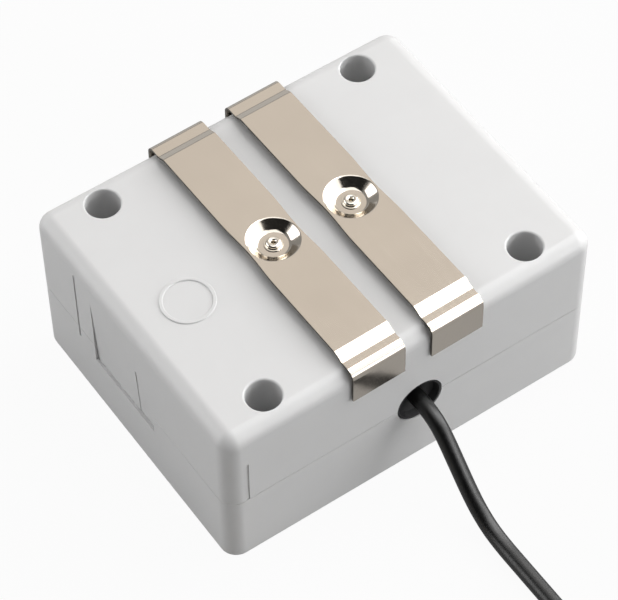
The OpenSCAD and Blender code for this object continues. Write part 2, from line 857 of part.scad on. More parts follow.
module battery_holder() {
  inner = holder_l - 2 * holder_wall;
  color("#222222") difference() {
    translate([-holder_l / 2, cell_y - holder_w / 2, board_top_z])
      cube([holder_l, holder_w, cell_lift + cell_d * holder_share]);
    along_cell() cylinder(d = cell_d + 4 * slip, h = inner, center = true);
    translate([-inner / 2, cell_y - holder_w / 2 - over,
      board_top_z + cell_lift + cell_d * holder_cut_share])
      cube([inner, holder_w + 2 * over, cell_d]);
  }
}

module battery() {
  color("#d8d8d8") along_cell() {
    translate([0, 0, -cell_l / 2]) cylinder(d = cell_d, h = cell_l - cell_cap);
    translate([0, 0, cell_l / 2 - cell_cap - over])
      cylinder(d = cell_cap_d, h = cell_cap + over);
  }
}

module battery_contacts() {
  plate = contact_plate;
  reach = holder_room - snug;
  color("silver") for (s = [-1, 1])
    translate([s * (cell_l / 2 + reach), cell_y, cell_z]) rotate([0, -90 * s, 0]) {
      translate([-plate[0] / 2, -plate[1] / 2, 0]) cube(plate);
      cylinder(r1 = contact_cone_r[0], r2 = contact_cone_r[1], h = reach - snug);
    }
}

// Front face

module test_switch_body() {
  color("#222222") translate([-button_x, 0, board_z - switch_h]) difference() {
    translate([-switch_w / 2, -switch_w / 2, 0]) cube([switch_w, switch_w, switch_h]);
    translate([0, 0, -over])
      cylinder(d = plunger_d + 2 * plunger_gap, h = over + plunger_inside + switch_well);
  }
}

module test_switch_plunger() {
  top = board_z - switch_h + plunger_inside;
  color("#3c3c3c") translate([-button_x, 0, plunger_low_z])
    cylinder(d = plunger_d, h = top - plunger_low_z);
}

module test_button() {
  face_r = button_d / 2;
  color("whitesmoke") translate([-button_x, 0, 0]) difference() {
    union() {
      translate([0, 0, button_sink]) cylinder(r = face_r, h = button_stop_z - button_sink);
      translate([0, 0, button_stop_z]) cylinder(r = face_r + button_flange, h = button_flange_t);
      translate([0, 0, button_stop_z]) cylinder(d = stem_d, h = button_flange_t + stem_h);
    }
    translate([0, 0, button_sink - dish_r + dish_depth]) sphere(r = dish_r, $fn = 128);
  }
}

module status_led() {
  rim_z = lamp_mid_z + lamp_body_h - lamp_rim_h;
  color("limegreen") {
    translate([0, 0, lamp_mid_z]) sphere(d = lamp_d);
    translate([0, 0, lamp_mid_z]) cylinder(d = lamp_d, h = lamp_body_h);
    translate([0, 0, rim_z]) cylinder(d = lamp_d + 2 * lamp_rim, h = lamp_rim_h);
    for (s = [-1, 1]) translate([s * lamp_leg_x, 0, rim_z])
      cylinder(d = lamp_leg_d, h = board_z - rim_z);
  }
}

module light_pipe() {
  color("white", 0.6) {
    translate([0, 0, slip]) cylinder(d = pipe_d, h = pipe_top_z - slip);
    translate([0, 0, wall]) cylinder(d = pipe_d + 2 * pipe_flange, h = pipe_flange_h);
  }
}

// Free cable

module cable_run() {
  color("#181818") tube(along(run_points, run_steps), cable_r, run_sides, [1, 0, 0]);
}

// Turn t of the coil, from 0 at its outer end on the floor: in, up a layer, and out again
coil_half = coil_turns + 0.25;

function coil_climb(t) = let (u = min(max((t - coil_turns) / 0.5, 0), 1))
  (1 - cos(180 * u)) / 2;

function coil_radius(t) = coil_out_r - coil_pitch * (t < coil_half ? t : 2 * coil_half - t);

function coil_point(t, out, up) = let (r = coil_radius(t) + out, a = -360 * t)
  [coil_x + r * cos(a), coil_y + r * sin(a), floor_run_z + coil_pitch * coil_climb(t) + up];

coil_count = round(coil_total * coil_rings);
coil_middle = [for (i = [0 : coil_count]) coil_point(i / coil_rings, 0, 0)];
coil_self_gap = min([for (i = [0 : 2 : coil_count], j = [i + coil_rings / 2 : 1 : coil_count])
  norm(coil_middle[i] - coil_middle[j])]) - cable_d;
echo(coil_self_gap = coil_self_gap);

module cable_coil() {
  turn = [for (k = [0 : coil_sides - 1]) let (a = 360 * (k + 0.5) / coil_sides)
    cable_r * [cos(a), sin(a)]];
  first = [for (q = turn) coil_point(0, q[0], q[1]) + [0, coil_end, 0]];
  last = [for (q = turn) coil_point(coil_total, q[0], q[1]) + [0, coil_end, 0]];
  color("#181818") polyhedron(
    points = concat(first,
      [for (i = [0 : coil_count], q = turn) coil_point(i / coil_rings, q[0], q[1])], last),
    faces = tube_faces(coil_count + 3, coil_sides));
}

// Plug

module along_plug() {
  translate([coil_x - coil_out_r, coil_y + coil_end, coil_top_z]) rotate([-90, 0, 0])
    children();
}

collar_z = relief_l + handle_l;
sleeve_z = collar_z + collar_l;
insulator_z = sleeve_z + sleeve_l;
tip_z = insulator_z + insulator_l;

module plug_body() {
  rib_pitch = relief_l / rib_count;
  end_r = handle_r - handle_taper;
  color("#1c1c1c") along_plug() {
    cylinder(r1 = relief_r[0], r2 = relief_r[1], h = relief_l);
    for (i = [0 : rib_count - 1]) translate([0, 0, (i + 0.2) * rib_pitch])
      cylinder(r1 = rib_r + rib_growth * i, r2 = rib_r + rib_growth * (i + 0.6),
        h = rib_pitch / 2);
    translate([0, 0, relief_l]) cylinder(r1 = end_r, r2 = handle_r, h = handle_taper_l);
    translate([0, 0, relief_l + handle_taper_l])
      cylinder(r = handle_r, h = handle_l - 2 * handle_taper_l);
    translate([0, 0, collar_z - handle_taper_l])
      cylinder(r1 = handle_r, r2 = end_r, h = handle_taper_l);
    translate([0, 0, collar_z]) cylinder(r = collar_r, h = collar_l);
  }
}

module plug_sleeve() {
  color("gold") along_plug() translate([0, 0, sleeve_z]) cylinder(d = jack_d, h = sleeve_l);
}

module plug_insulator() {
  color("#101010") along_plug() translate([0, 0, insulator_z])
    cylinder(d = jack_d, h = insulator_l);
}

// The tip has a waist that the socket's spring drops into, and a cone in front of it
module plug_tip() {
  r = jack_d / 2;
  shapes = [[0, 1], [tip_straight / tip_l, 1], [0.42, tip_waist], [0.5, tip_waist],
    [0.64, 1], [1, tip_nose]];
  color("gold") along_plug() translate([0, 0, tip_z]) rotate_extrude()
    polygon(concat([[0, 0]], [for (p = shapes) [r * p[1], tip_l * p[0]]], [[0, tip_l]]));
}

base_shell();
front_cover();
housing_seal();
housing_screws();
left_contact_strip();
right_contact_strip();
strip_rivets();
contact_tags();
left_contact_wire();
right_contact_wire();
cable_grommet();
cable_clamp();
clamp_screws();
cable_inner_end();
red_core();
black_core();
circuit_board();
board_screws();
cable_terminal_block();
terminal_screws();
signal_relay();
sounder();
controller_chip();
supply_capacitor();
battery_holder();
battery();
battery_contacts();
probe_header();
test_switch_body();
test_switch_plunger();
test_button();
status_led();
light_pipe();
cable_run();
cable_coil();
plug_body();
plug_sleeve();
plug_insulator();
plug_tip();
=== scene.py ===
"""Dresses a packed leak sensor and shut-off controller: housing, contact strips, cable and plug.

Laid out as an add-on: each piece has its own operator, and the panel lists them all.
Sizes are in millimetres and are turned to metres where a mesh is made.
"""
from itertools import accumulate
from math import atan2, copysign, cos, pi, radians, sin, tau

import bmesh
import bpy
from bpy.props import FloatProperty, FloatVectorProperty, PointerProperty
from mathutils import Matrix, Vector


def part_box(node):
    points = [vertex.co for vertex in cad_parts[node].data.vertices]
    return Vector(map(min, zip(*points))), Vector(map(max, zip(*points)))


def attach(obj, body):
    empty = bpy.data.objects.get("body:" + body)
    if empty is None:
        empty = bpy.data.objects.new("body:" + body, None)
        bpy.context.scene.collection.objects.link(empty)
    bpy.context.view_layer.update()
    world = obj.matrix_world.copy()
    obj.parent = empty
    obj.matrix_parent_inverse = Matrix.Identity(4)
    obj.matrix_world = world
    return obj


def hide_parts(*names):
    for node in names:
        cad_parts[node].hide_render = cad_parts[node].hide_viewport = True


bl_info = {
    "name": "Leak Controller Dresser",
    "version": (1, 0, 0),
    "blender": (4, 5, 0),
    "location": "3D View > Sidebar > Leak Controller",
    "description": "Models and finishes the pieces of a leak sensor and shut-off controller",
    "category": "Object",
}

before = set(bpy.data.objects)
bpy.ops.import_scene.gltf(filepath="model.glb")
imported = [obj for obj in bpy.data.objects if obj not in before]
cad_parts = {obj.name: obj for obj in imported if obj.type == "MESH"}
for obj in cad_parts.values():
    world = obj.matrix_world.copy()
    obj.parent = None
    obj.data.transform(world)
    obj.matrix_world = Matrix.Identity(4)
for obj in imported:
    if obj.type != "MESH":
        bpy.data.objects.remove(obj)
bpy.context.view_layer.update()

MM = 0.001
BODY = "housing"
BUTTON_BODY = "test_button"


def box_mm(node):
    """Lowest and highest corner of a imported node, in millimetres."""
    low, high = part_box(node)
    return [c / MM for c in low], [c / MM for c in high]


def four(x, y):
    """Places of four like features, one in each quarter of the housing."""
    return [(sx * x, sy * y, 0) for sx in (-1, 1) for sy in (-1, 1)]


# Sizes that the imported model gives
(_, _, PART_Z), (HALF_L, HALF_W, _) = box_mm("base_shell")
(near_x, _, FLANGE_LOW), (far_x, FLANGE_Y, STRIP_TOP) = box_mm("right_contact_strip")
STRIP_X, STRIP_HALF = (near_x + far_x) / 2, (far_x - near_x) / 2
STRIPS = [(-STRIP_X, 0, 0), (STRIP_X, 0, 0)]

# Housing, as it was moulded
TOP_Z = 38.5
WALL = 2.4
CORNER_R = 3.5
EDGE_R = 3.3
FRONT_R = 0.8
REVEAL = 0.14
TONGUE_T, TONGUE_H = 1.0, 1.5
SEAL_H = 0.8
CEILING = TOP_Z - WALL
INNER_L, INNER_W, INNER_R = HALF_L - WALL, HALF_W - WALL, CORNER_R - WALL
WELLS = four(30.0, 27.5)
WELL_R, WELL_WALL, WELL_SEAT, WELL_LIP = 3.5, 1.5, 22.0, 0.4
SCREW_R, SCREW_L = 1.45, 16.0
RIVET_R = 1.0
CABLE_X, CABLE_R, CABLE_HOLE_R = 1.5, 1.75, 5.2

# Play of a sliding and of a tight fit, and how far a cutter reaches past what it cuts
SLIP, SNUG, OVER = 0.1, 0.05, 1.0

# Recess in the left side, which is a wedge with a lower step, and the grooves
RECESS, RECESS_STEP = 0.6, 0.13
RECESS_Y, RECESS_Z = (-2, 13.2), (13.4, 32)
STEP_OUTLINE = [(-1.95, 13.4), (-1.95, 27.4), (-7.7, 24.7), (-7.7, 13.4)]
END_GROOVE, END_GROOVE_Y, END_GROOVE_Z = 0.24, (18.5, 19.1), (15.1, 34.3)
SIDE_GROOVE, SIDE_GROOVE_X, SIDE_GROOVE_TOP = 0.25, (-38.3, -37.6), 29.5

# Plain raised ring in the top face
MARK_PLACE = (-29.5, -1.5, 0)
MARK_R, MARK_LINE, MARK_RISE, MARK_SLOPE = 5.5, 0.8, 0.25, 0.15

# Bosses and holes of the front cover
COVER_POST_R = 4.25
BOARD_Z = 11.5
POSTS = four(31.0, 18.0)
POST_R, POST_BORE, BOSS_FLOOR = 3.0, 1.25, 2.0
SADDLE_Y, SADDLE_T, SADDLE_HALF = -26.5, 5.0, 9.0
CLAMP_X = 6.3
BUTTON_X, BUTTON_R, BUTTON_GAP, BUTTON_CHAMFER = -18.0, 5.8, 0.2, 1.0
SOUNDER_X, SOUND_HOLE_R, SOUND_RING_R = 18.0, 0.75, 3.0
PIPE_R = 1.5
# Walls round the button and the sounder: middle, inside radius and top
GUIDES = ((BUTTON_X, 7.2, 4.6), (SOUNDER_X, 6.2, 4.5))
GUIDE_WALL = 1.2

# The free cable: its route as the part has it, then a coil of two layers
ROUTE = [(CABLE_X, y, z) for y, z in (
    (-31.7, 18), (-34.5, 18), (-37.3, 17.6), (-39.9, 16.5), (-42.3, 14.6), (-45.8, 11.1),
    (-49.8, 7.1), (-53.2, 4.4), (-57, 2.6), (-61.2, 1.9), (-66, 1.8), (-74, 1.8), (-83, 1.8),
    (-93, 1.8))]
ROUTE_STEPS = 6
COIL_Y = -100.0
COIL_PITCH, COIL_TURNS, COIL_OUT_R = 3.95, 4, 28.9
COIL_RINGS = 48
COIL_LEAD = 7.0
# Share of a turn in which the cable climbs to the upper layer
COIL_CLIMB = 0.5
COIL_X = CABLE_X - COIL_OUT_R
FLOOR_RUN_Z = 1.8

# Sides of round shapes that are seen close, less close, and hardly
FINE, MEDIUM, COARSE = 96, 64, 48


def hex_to_linear(code):
    """Linear red, green and blue of an sRGB colour such as "#E4E4E4"."""
    parts = [int(code[i:i + 2], 16) / 255 for i in (1, 3, 5)]
    return tuple(p / 12.92 if p <= 0.04045 else ((p + 0.055) / 1.055) ** 2.4 for p in parts)


def distance(name, description, default):
    """A length property in metres, whose default is given in millimetres."""
    return FloatProperty(name=name, description=description, default=default * MM,
                         min=0, subtype="DISTANCE", unit="LENGTH")


def colour(name, description, code):
    """A colour property whose default is an sRGB code."""
    return FloatVectorProperty(name=name, description=description, default=hex_to_linear(code),
                               size=3, min=0, max=1, subtype="COLOR")


def share(name, description, default):
    """A plain number property from 0 to 1."""
    return FloatProperty(name=name, description=description, default=default, min=0, max=1,
                         subtype="FACTOR")


class LEAK_PG_housing(bpy.types.PropertyGroup):
    """The moulded shells."""
    edge: distance("Small edges", "Rounding of the small moulded edges", 0.12)
    plastic: colour("Plastic", "Colour of the pale moulded plastic", "#D2D2D2")
    roughness: share("Roughness", "Roughness of the moulded surface", 0.42)
    grain: distance("Grain", "Spacing of the mould's spark-eroded grain", 0.35)


class LEAK_PG_strips(bpy.types.PropertyGroup):
    """The contact strips."""
    thickness: distance("Sheet", "Thickness of the strip's sheet", 0.5)
    mouth: distance("Dimple mouth", "Radius of the dimple at the strip's top", 5.3)
    drawn_in: distance("Drawn in", "How far the sheet's edges draw in beside a dimple", 0.35)
    askew: FloatProperty(name="Askew", description="Turn of each strip about its rivet",
                         default=radians(0.75), subtype="ANGLE", unit="ROTATION")
    metal: colour("Metal", "Colour of the satin nickel plating", "#CBC3B8")
    roughness: share("Roughness", "Roughness of the satin plating", 0.13)


class LEAK_PG_cable(bpy.types.PropertyGroup):
    """The signal cable."""
    diameter: distance("Diameter", "Outside diameter of the cable", 3.5)
    jacket: colour("Jacket", "Colour of the cable's jacket", "#080808")


class LEAK_PG_stage(bpy.types.PropertyGroup):
    """Camera, floor and lamps."""
    lens: FloatProperty(name="Lens", description="Focal length on a 36 mm sensor",
                        default=168.33, unit="CAMERA")
    white: share("White", "Share of plain white that the camera sees in the floor", 0.95)


# Modelling helpers

def metres(values):
    """Millimetres to a vector in metres."""
    return Vector(values) * MM


def only(obj):
    """Leaves one object selected and active."""
    bpy.ops.object.select_all(action="DESELECT")
    obj.select_set(True)
    bpy.context.view_layer.objects.active = obj


def settle(obj, name):
    """Names a new object and moves its place, turn and size into its mesh."""
    obj.name = name
    obj.data.name = name
    only(obj)
    bpy.ops.object.transform_apply(location=True, rotation=True, scale=True)
    return obj


def block(name, low, high):
    """A square block between two corners."""
    low, high = metres(low), metres(high)
    bpy.ops.object.select_all(action="DESELECT")
    bpy.ops.mesh.primitive_cube_add(size=1, location=(low + high) / 2, scale=high - low)
    return settle(bpy.context.object, name)


def disc(name, sides, radius, z=0.0, fill="NGON"):
    """A flat circle, which most shapes are drawn out of."""
    bpy.ops.object.select_all(action="DESELECT")
    bpy.ops.mesh.primitive_circle_add(vertices=sides, radius=radius * MM, fill_type=fill,
                                      location=(0, 0, z * MM))
    return settle(bpy.context.object, name)


def choose(obj, kind, test=lambda part: True):
    """Goes into edit mode and selects the vertices, edges or faces that pass a test."""
    only(obj)
    bpy.ops.object.mode_set(mode="EDIT")
    bpy.ops.mesh.select_mode(type=kind)
    bpy.ops.mesh.select_all(action="DESELECT")
    mesh = bmesh.from_edit_mesh(obj.data)
    for part in {"VERT": mesh.verts, "EDGE": mesh.edges, "FACE": mesh.faces}[kind]:
        part.select_set(test(part))
    bmesh.update_edit_mesh(obj.data)


def extrude(x=0.0, y=0.0, z=0.0):
    """Draws what is selected out by some millimetres."""
    bpy.ops.mesh.extrude_region_move(TRANSFORM_OT_translate={"value": (x * MM, y * MM, z * MM)})


def extrude_rings(profile):
    """Draws a selected circle out through (radius, height) pairs, of which the first is its own."""
    for (r0, z0), (r1, z1) in zip(profile, profile[1:]):
        extrude(z=z1 - z0)
        bpy.ops.transform.resize(value=(r1 / r0, r1 / r0, 1), center_override=(0, 0, z1 * MM))


def back_to_object():
    """Leaves edit mode."""
    bpy.ops.object.mode_set(mode="OBJECT")


def close_solid():
    """Turns all faces of a drawn-out solid outwards and leaves edit mode."""
    bpy.ops.mesh.select_all(action="SELECT")
    bpy.ops.mesh.normals_make_consistent(inside=False)
    back_to_object()


CORNER_STEPS, TOP_STEPS, BOTTOM_STEPS = 14, 10, 4
LEAST_R = 0.15
# Edges sharper than this are softened, and points nearer than this, in metres, are one
SHARP_ANGLE = 40
ONE_POINT = 1e-6


def plan(half_l, half_w, radius):
    """Outline of a block with round corners, a quarter circle at a time."""
    return [(sx * (half_l - radius) + radius * cos(radians(start + turn)),
             sy * (half_w - radius) + radius * sin(radians(start + turn)))
            for sx, sy, start in ((1, 1, 0), (-1, 1, 90), (-1, -1, 180), (1, -1, 270))
            for turn in (90 * i / CORNER_STEPS for i in range(CORNER_STEPS + 1))]


def stacked(name, layers):
    """A solid made of outlines with equal counts of points, each at its own height."""
    obj = disc(name, len(layers[0][0]), 1)
    for vertex, (x, y) in zip(obj.data.vertices, layers[0][0]):
        vertex.co = metres((x, y, layers[0][1]))
    choose(obj, "FACE")
    for (outline, _), (upper, z) in zip(layers, layers[1:]):
        extrude()
        mesh = bmesh.from_edit_mesh(obj.data)
        top = next(f for f in mesh.faces if f.select)
        targets = {(round(x, 4), round(y, 4)): place for (x, y), place in zip(outline, upper)}
        for vertex in top.verts:
            x, y = vertex.co.x / MM, vertex.co.y / MM
            near = min(targets, key=lambda p: abs(p[0] - x) + abs(p[1] - y))
            vertex.co = metres((*targets[near], z))
        bmesh.update_edit_mesh(obj.data)
    close_solid()
    return obj


def rounded_block(name, half_l, half_w, low, high, corner, top=0.0, bottom=0.0):
    """A block about the upright axis with round upright corners and round end edges."""
    def layer(inset, z):
        radius = max(corner - inset, LEAST_R)
        return plan(half_l - inset, half_w - inset, radius), z

    quarter = pi / 2
    layers = [layer(bottom * (1 - sin(a)), low + bottom * (1 - cos(a)))
              for a in (quarter * i / BOTTOM_STEPS for i in range(BOTTOM_STEPS if bottom else 0))]
    layers += [layer(0, low + bottom), layer(0, high - top)]
    layers += [layer(top * (1 - cos(a)), high - top * (1 - sin(a)))
               for a in (quarter * i / TOP_STEPS for i in range(1, TOP_STEPS + 1 if top else 1))]
    return stacked(name, layers)


def turned(name, profile, sides, place=(0, 0, 0), axis=(0, 0, 1)):
    """A solid turned about an axis. The profile is (radius, height) pairs from its foot up."""
    obj = disc(name, sides, *profile[0])
    choose(obj, "FACE")
    extrude_rings(profile)
    close_solid()
    turn = Vector((0, 0, 1)).rotation_difference(Vector(axis))
    obj.data.transform(Matrix.Translation(metres(place)) @ turn.to_matrix().to_4x4())
    return obj


def rod(name, radius, low, high, x=0.0, sides=COARSE):
    """An upright round rod between two heights."""
    return turned(name, [(radius, low), (radius, high)], sides, (x, 0, 0))


def prism(name, outline, low, high, axis):
    """An outline of two coordinates drawn out along x or y between two places."""
    obj = disc(name, len(outline), 1)
    for vertex, (a, z) in zip(obj.data.vertices, outline):
        vertex.co = metres((low, a, z) if axis == "x" else (a, low, z))
    choose(obj, "FACE")
    extrude(**{axis: high - low})
    close_solid()
    return obj


def arc(radius_mid, height_mid, radius, start, end, steps):
    """Profile points on an arc, with angles in degrees from the outward direction."""
    turns = [radians(start + (end - start) * i / steps) for i in range(steps + 1)]
    return [(radius_mid + radius * cos(a), height_mid + radius * sin(a)) for a in turns]


def rounded_corner(before, corner, after, radius, steps):
    """Points of a small round where two straight stretches of a profile meet."""
    corner = Vector(corner)
    start, end = (corner + (Vector(p) - corner).normalized() * radius for p in (before, after))
    return [tuple(start.lerp(corner, t).lerp(corner.lerp(end, t), t))
            for t in (i / steps for i in range(steps + 1))]


def gather(name, objects):
    """Joins separate objects into one."""
    bpy.ops.object.select_all(action="DESELECT")
    for obj in objects:
        obj.select_set(True)
    bpy.context.view_layer.objects.active = objects[0]
    bpy.ops.object.join()
    return settle(bpy.context.object, name)


def copied(obj, moves):
    """Copies of an object, each with its own mesh, moved by the given millimetres."""
    copies = []
    for move in moves:
        copy = obj.copy()
        copy.data = obj.data.copy()
        bpy.context.collection.objects.link(copy)
        copy.data.transform(Matrix.Translation(metres(move)))
        copies.append(copy)
    bpy.data.objects.remove(obj)
    return copies


def apply_modifier(obj, kind, **settings):
    """Adds one modifier, sets it up and applies it."""
    modifier = obj.modifiers.new(kind.title(), kind)
    for key, value in settings.items():
        setattr(modifier, key, value)
    only(obj)
    bpy.ops.object.modifier_apply(modifier=modifier.name)


def combine(obj, tools, operation):
    """Cuts tools out of an object, or joins them on, one after another, and removes them."""
    for tool in tools:
        apply_modifier(obj, "BOOLEAN", object=tool, operation=operation, solver="EXACT")
        bpy.data.objects.remove(tool)


def cut(obj, *tools):
    """Cuts tools out of an object."""
    combine(obj, tools, "DIFFERENCE")


def cut_at(obj, tool, places):
    """Cuts one tool out of an object at several places at once."""
    cut(obj, gather(tool.name, copied(tool, places)))


def join_on(obj, *tools):
    """Joins tools onto an object."""
    combine(obj, tools, "UNION")


def soften(obj, width):
    """Merges doubled points and rounds every sharp edge a little."""
    choose(obj, "VERT")
    bpy.ops.mesh.remove_doubles(threshold=ONE_POINT)
    back_to_object()
    apply_modifier(obj, "BEVEL", width=width, segments=2, limit_method="ANGLE",
                   angle_limit=radians(SHARP_ANGLE), use_clamp_overlap=True,
                   miter_outer="MITER_ARC")


def smooth(obj, angle):
    """Smooth shading up to an angle, with flat faces kept flat."""
    only(obj)
    bpy.ops.object.shade_smooth_by_angle(angle=radians(angle))
    apply_modifier(obj, "WEIGHTED_NORMAL", keep_sharp=True, weight=100)


def carry(obj, nodes, finish, angle=None, body=BODY):
    """Smooths a piece and gives it its material. Hides the imported nodes it replaces and sets what
    it moves with.
    """
    if angle:
        smooth(obj, angle)
    obj.data.materials.clear()
    obj.data.materials.append(finish)
    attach(obj, body)
    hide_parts(*nodes)


# Material helpers

# Most of a noise lies between these two, and colour changes this many grains apart
NOISE_LOW, NOISE_HIGH = 0.3, 0.7
CLOUD = 24
LEAST_ROUGHNESS = 0.02


def add_node(tree, kind, settings=(), links=()):
    """Adds one node. Settings go to itself or its sockets, links name (node, output)."""
    node = tree.nodes.new("ShaderNode" + kind)
    settings = dict(settings)
    for key in [k for k in settings if isinstance(k, str) and hasattr(node, k)]:
        setattr(node, key, settings.pop(key))
    for key, value in settings.items():
        node.inputs[key].default_value = value
    for key, (other, output) in dict(links).items():
        tree.links.new(other.outputs[output], node.inputs[key])
    return node


def new_material(name):
    """An empty node material with its output node."""
    material = bpy.data.materials.new(name)
    material.use_nodes = True
    material.node_tree.nodes.clear()
    return material, material.node_tree, add_node(material.node_tree, "OutputMaterial")


def grained(tree, spacing, detail=3.0, stretch=(1, 1, 1)):
    """Noise whose grains are a given number of millimetres apart."""
    place = add_node(tree, "TexCoord")
    mapping = add_node(tree, "Mapping", {"Scale": stretch}, {"Vector": (place, "Object")})
    return add_node(tree, "TexNoise", {"Scale": 1 / (spacing * MM), "Detail": detail,
                                       "Roughness": 0.55}, {"Vector": (mapping, "Vector")})


def shaded(tree, output, tint, gloss, relief, **shader):
    """Puts colour, gloss and relief on a surface, each of which a source node drives.

    tint is the source, the range of it that counts, and a dark and a pale colour. gloss is the
    source and a range of roughness, relief the source, its strength and its height in mm.
    """
    source, low, high, dark, pale = tint
    ramp = add_node(tree, "ValToRGB", links={"Fac": (source, 0)})
    for stop, place, rgb in zip(ramp.color_ramp.elements, (low, high), (dark, pale)):
        stop.position = place
        stop.color = (*rgb, 1)
    source, low, high = gloss
    sheen = add_node(tree, "MapRange", {"From Min": NOISE_LOW, "From Max": NOISE_HIGH,
                                        "To Min": low, "To Max": high}, {"Value": (source, 0)})
    source, strength, height = relief
    bumps = add_node(tree, "Bump", {"Strength": strength, "Distance": height * MM},
                     {"Height": (source, 0)})
    bsdf = add_node(tree, "BsdfPrincipled", shader, {
        "Base Color": (ramp, "Color"), "Roughness": (sheen, "Result"),
        "Normal": (bumps, "Normal")})
    tree.links.new(bsdf.outputs["BSDF"], output.inputs["Surface"])


def surface(name, tone, roughness, grain, bump, vary, rough_vary=0.05, stretch=(1, 1, 1),
            **shader):
    """A finish with slight colour and gloss changes and a grain of a real size."""
    rgb = hex_to_linear(tone) if isinstance(tone, str) else tone
    material, tree, output = new_material(name)
    cloud = grained(tree, grain * CLOUD, 2.0)
    fine = grained(tree, grain, 3.0, stretch)
    dark, pale = [tuple(min(c * k, 1) for c in rgb) for k in (1 - vary, 1 + vary)]
    shaded(tree, output, (cloud, NOISE_LOW, NOISE_HIGH, dark, pale),
           (fine, max(roughness - rough_vary, LEAST_ROUGHNESS), roughness + rough_vary),
           (fine, 1.0, bump), **shader)
    return material


# Finishes: colour, roughness, the grain's spacing and height in mm, the share by which the
# colour varies, and what else differs from the usual. The comments say what each one is
METAL = {"Metallic": 1.0}
FINISHES = {
    # Turned brass with a nickel plating: bright, with a gloss that varies very little
    "bright nickel plate": ("#D8D2C8", 0.12, 0.3, 0.001, 0.02, {"rough_vary": 0.03, **METAL}),
    # Zinc-plated steel: cool grey with a slightly mottled gloss
    "zinc plate": ("#B9BCC1", 0.32, 0.6, 0.003, 0.05, METAL),
    # Tinned brass sheet: pale yellow grey, dull where the solder ran
    "tinned brass": ("#C9B98A", 0.35, 0.7, 0.003, 0.08, METAL),
    # Gold-plated brass: bright and warm, polished by the socket's springs
    "gold plate": ("#E3BC6A", 0.14, 0.4, 0.001, 0.03, {"stretch": (1, 0.1, 1), **METAL}),
    # Nitrile rubber: soft black without gloss, a little dusty
    "nitrile": ("#1D1D1E", 0.75, 0.4, 0.01, 0.1, {"IOR": 1.52}),
    # Extruded PVC: black with a soft sheen and a faint ripple along it
    "PVC jacket": ("#080808", 0.36, 0.9, 0.012, 0.12, {"IOR": 1.53}),
    # Thin extruded PVC insulation in one plain colour
    "PVC insulation": ("#202022", 0.4, 0.5, 0.004, 0.05, {"IOR": 1.53}),
    # Glass-filled nylon or PBT, moulded: near black with a fine matt grain
    "black moulding": ("#1E1E20", 0.5, 0.3, 0.008, 0.1, {"IOR": 1.53}),
    # Coloured engineering plastic, as moulded connectors and relays have
    "plain moulding": ("#D4D6D8", 0.42, 0.3, 0.005, 0.04, {"IOR": 1.53}),
    # Heat-shrunk PVC sleeve: thin and glossy, drawn tight over its can
    "shrink sleeve": ("#C9CBCF", 0.2, 1.2, 0.008, 0.05, {"IOR": 1.53}),
    # Clear acrylic light pipe: polished at its ends, faintly milky inside
    "clear acrylic": ("#EEF3F3", 0.08, 0.8, 0.002, 0.01,
                      {"rough_vary": 0.03, "IOR": 1.49, "Transmission Weight": 0.7}),
    # Green-tinted epoxy lens of a lamp: glossy and partly clear
    "tinted epoxy": ("#6BD27A", 0.12, 0.8, 0.002, 0.03,
                     {"IOR": 1.55, "Transmission Weight": 0.4}),
}


def made_of(kind, name=None, tone=None, roughness=None):
    """Makes one of the finishes, with its own name, colour or roughness where one is given."""
    usual_tone, usual_roughness, grain, bump, vary, more = FINISHES[kind]
    return surface(name or kind, tone or usual_tone, roughness or usual_roughness, grain, bump,
                   vary, **more)


def moulded_abs():
    """ABS moulded in a spark-eroded tool: an even pale satin with a fine dull grain."""
    looks = bpy.context.scene.leak_housing
    return surface("moulded ABS", looks.plastic, looks.roughness, looks.grain / MM, 0.006, 0.008,
                   rough_vary=0.04, IOR=1.52)


def pvc_jacket():
    """The cable's own PVC, in the colour that the panel gives."""
    return made_of("PVC jacket", tone=tuple(bpy.context.scene.leak_cable.jacket))


# Painted shade on the strips' sides that face along X: its dark colour, and the sideways share of
# the normal over which it sets in
PAINTED_EDGE_SHADE = "#5E5850"
EDGE_SHADE_FROM, EDGE_SHADE_TO = 0.7, 0.85


def satin_nickel():
    """Nickel-plated spring steel: a warm satin, drawn out along the strip by rolling.

    The sides that face along X are painted darker: painted shade along the sheet's edges.
    """
    looks = bpy.context.scene.leak_strips
    # Rolling lines are finer than this on the real sheet; they are coarser here to show
    material = surface("satin nickel plate", looks.metal, looks.roughness, 0.5, 0.0005, 0.02,
                       rough_vary=0.03, stretch=(1, 0.04, 1), **METAL)
    tree = material.node_tree
    bsdf = next(n for n in tree.nodes if n.bl_idname == "ShaderNodeBsdfPrincipled")
    plated = bsdf.inputs["Base Color"].links[0].from_node
    # Painted shade: faces pointing along X are mixed towards a dark colour
    place = add_node(tree, "TexCoord")
    facing = add_node(tree, "SeparateXYZ", links={"Vector": (place, "Normal")})
    either = add_node(tree, "Math", {"operation": "ABSOLUTE"}, {0: (facing, "X")})
    side = add_node(tree, "MapRange", {"From Min": EDGE_SHADE_FROM, "From Max": EDGE_SHADE_TO},
                    {"Value": (either, "Value")})
    tint = add_node(tree, "MixRGB", {"Color2": (*hex_to_linear(PAINTED_EDGE_SHADE), 1)},
                    {"Fac": (side, "Result"), "Color1": (plated, "Color")})
    tree.links.new(tint.outputs["Color"], bsdf.inputs["Base Color"])
    return material


TRACK_PITCH, TRACK_CYCLE = 5, 0.07
TRACK_EDGE = (0.03, 0.045)


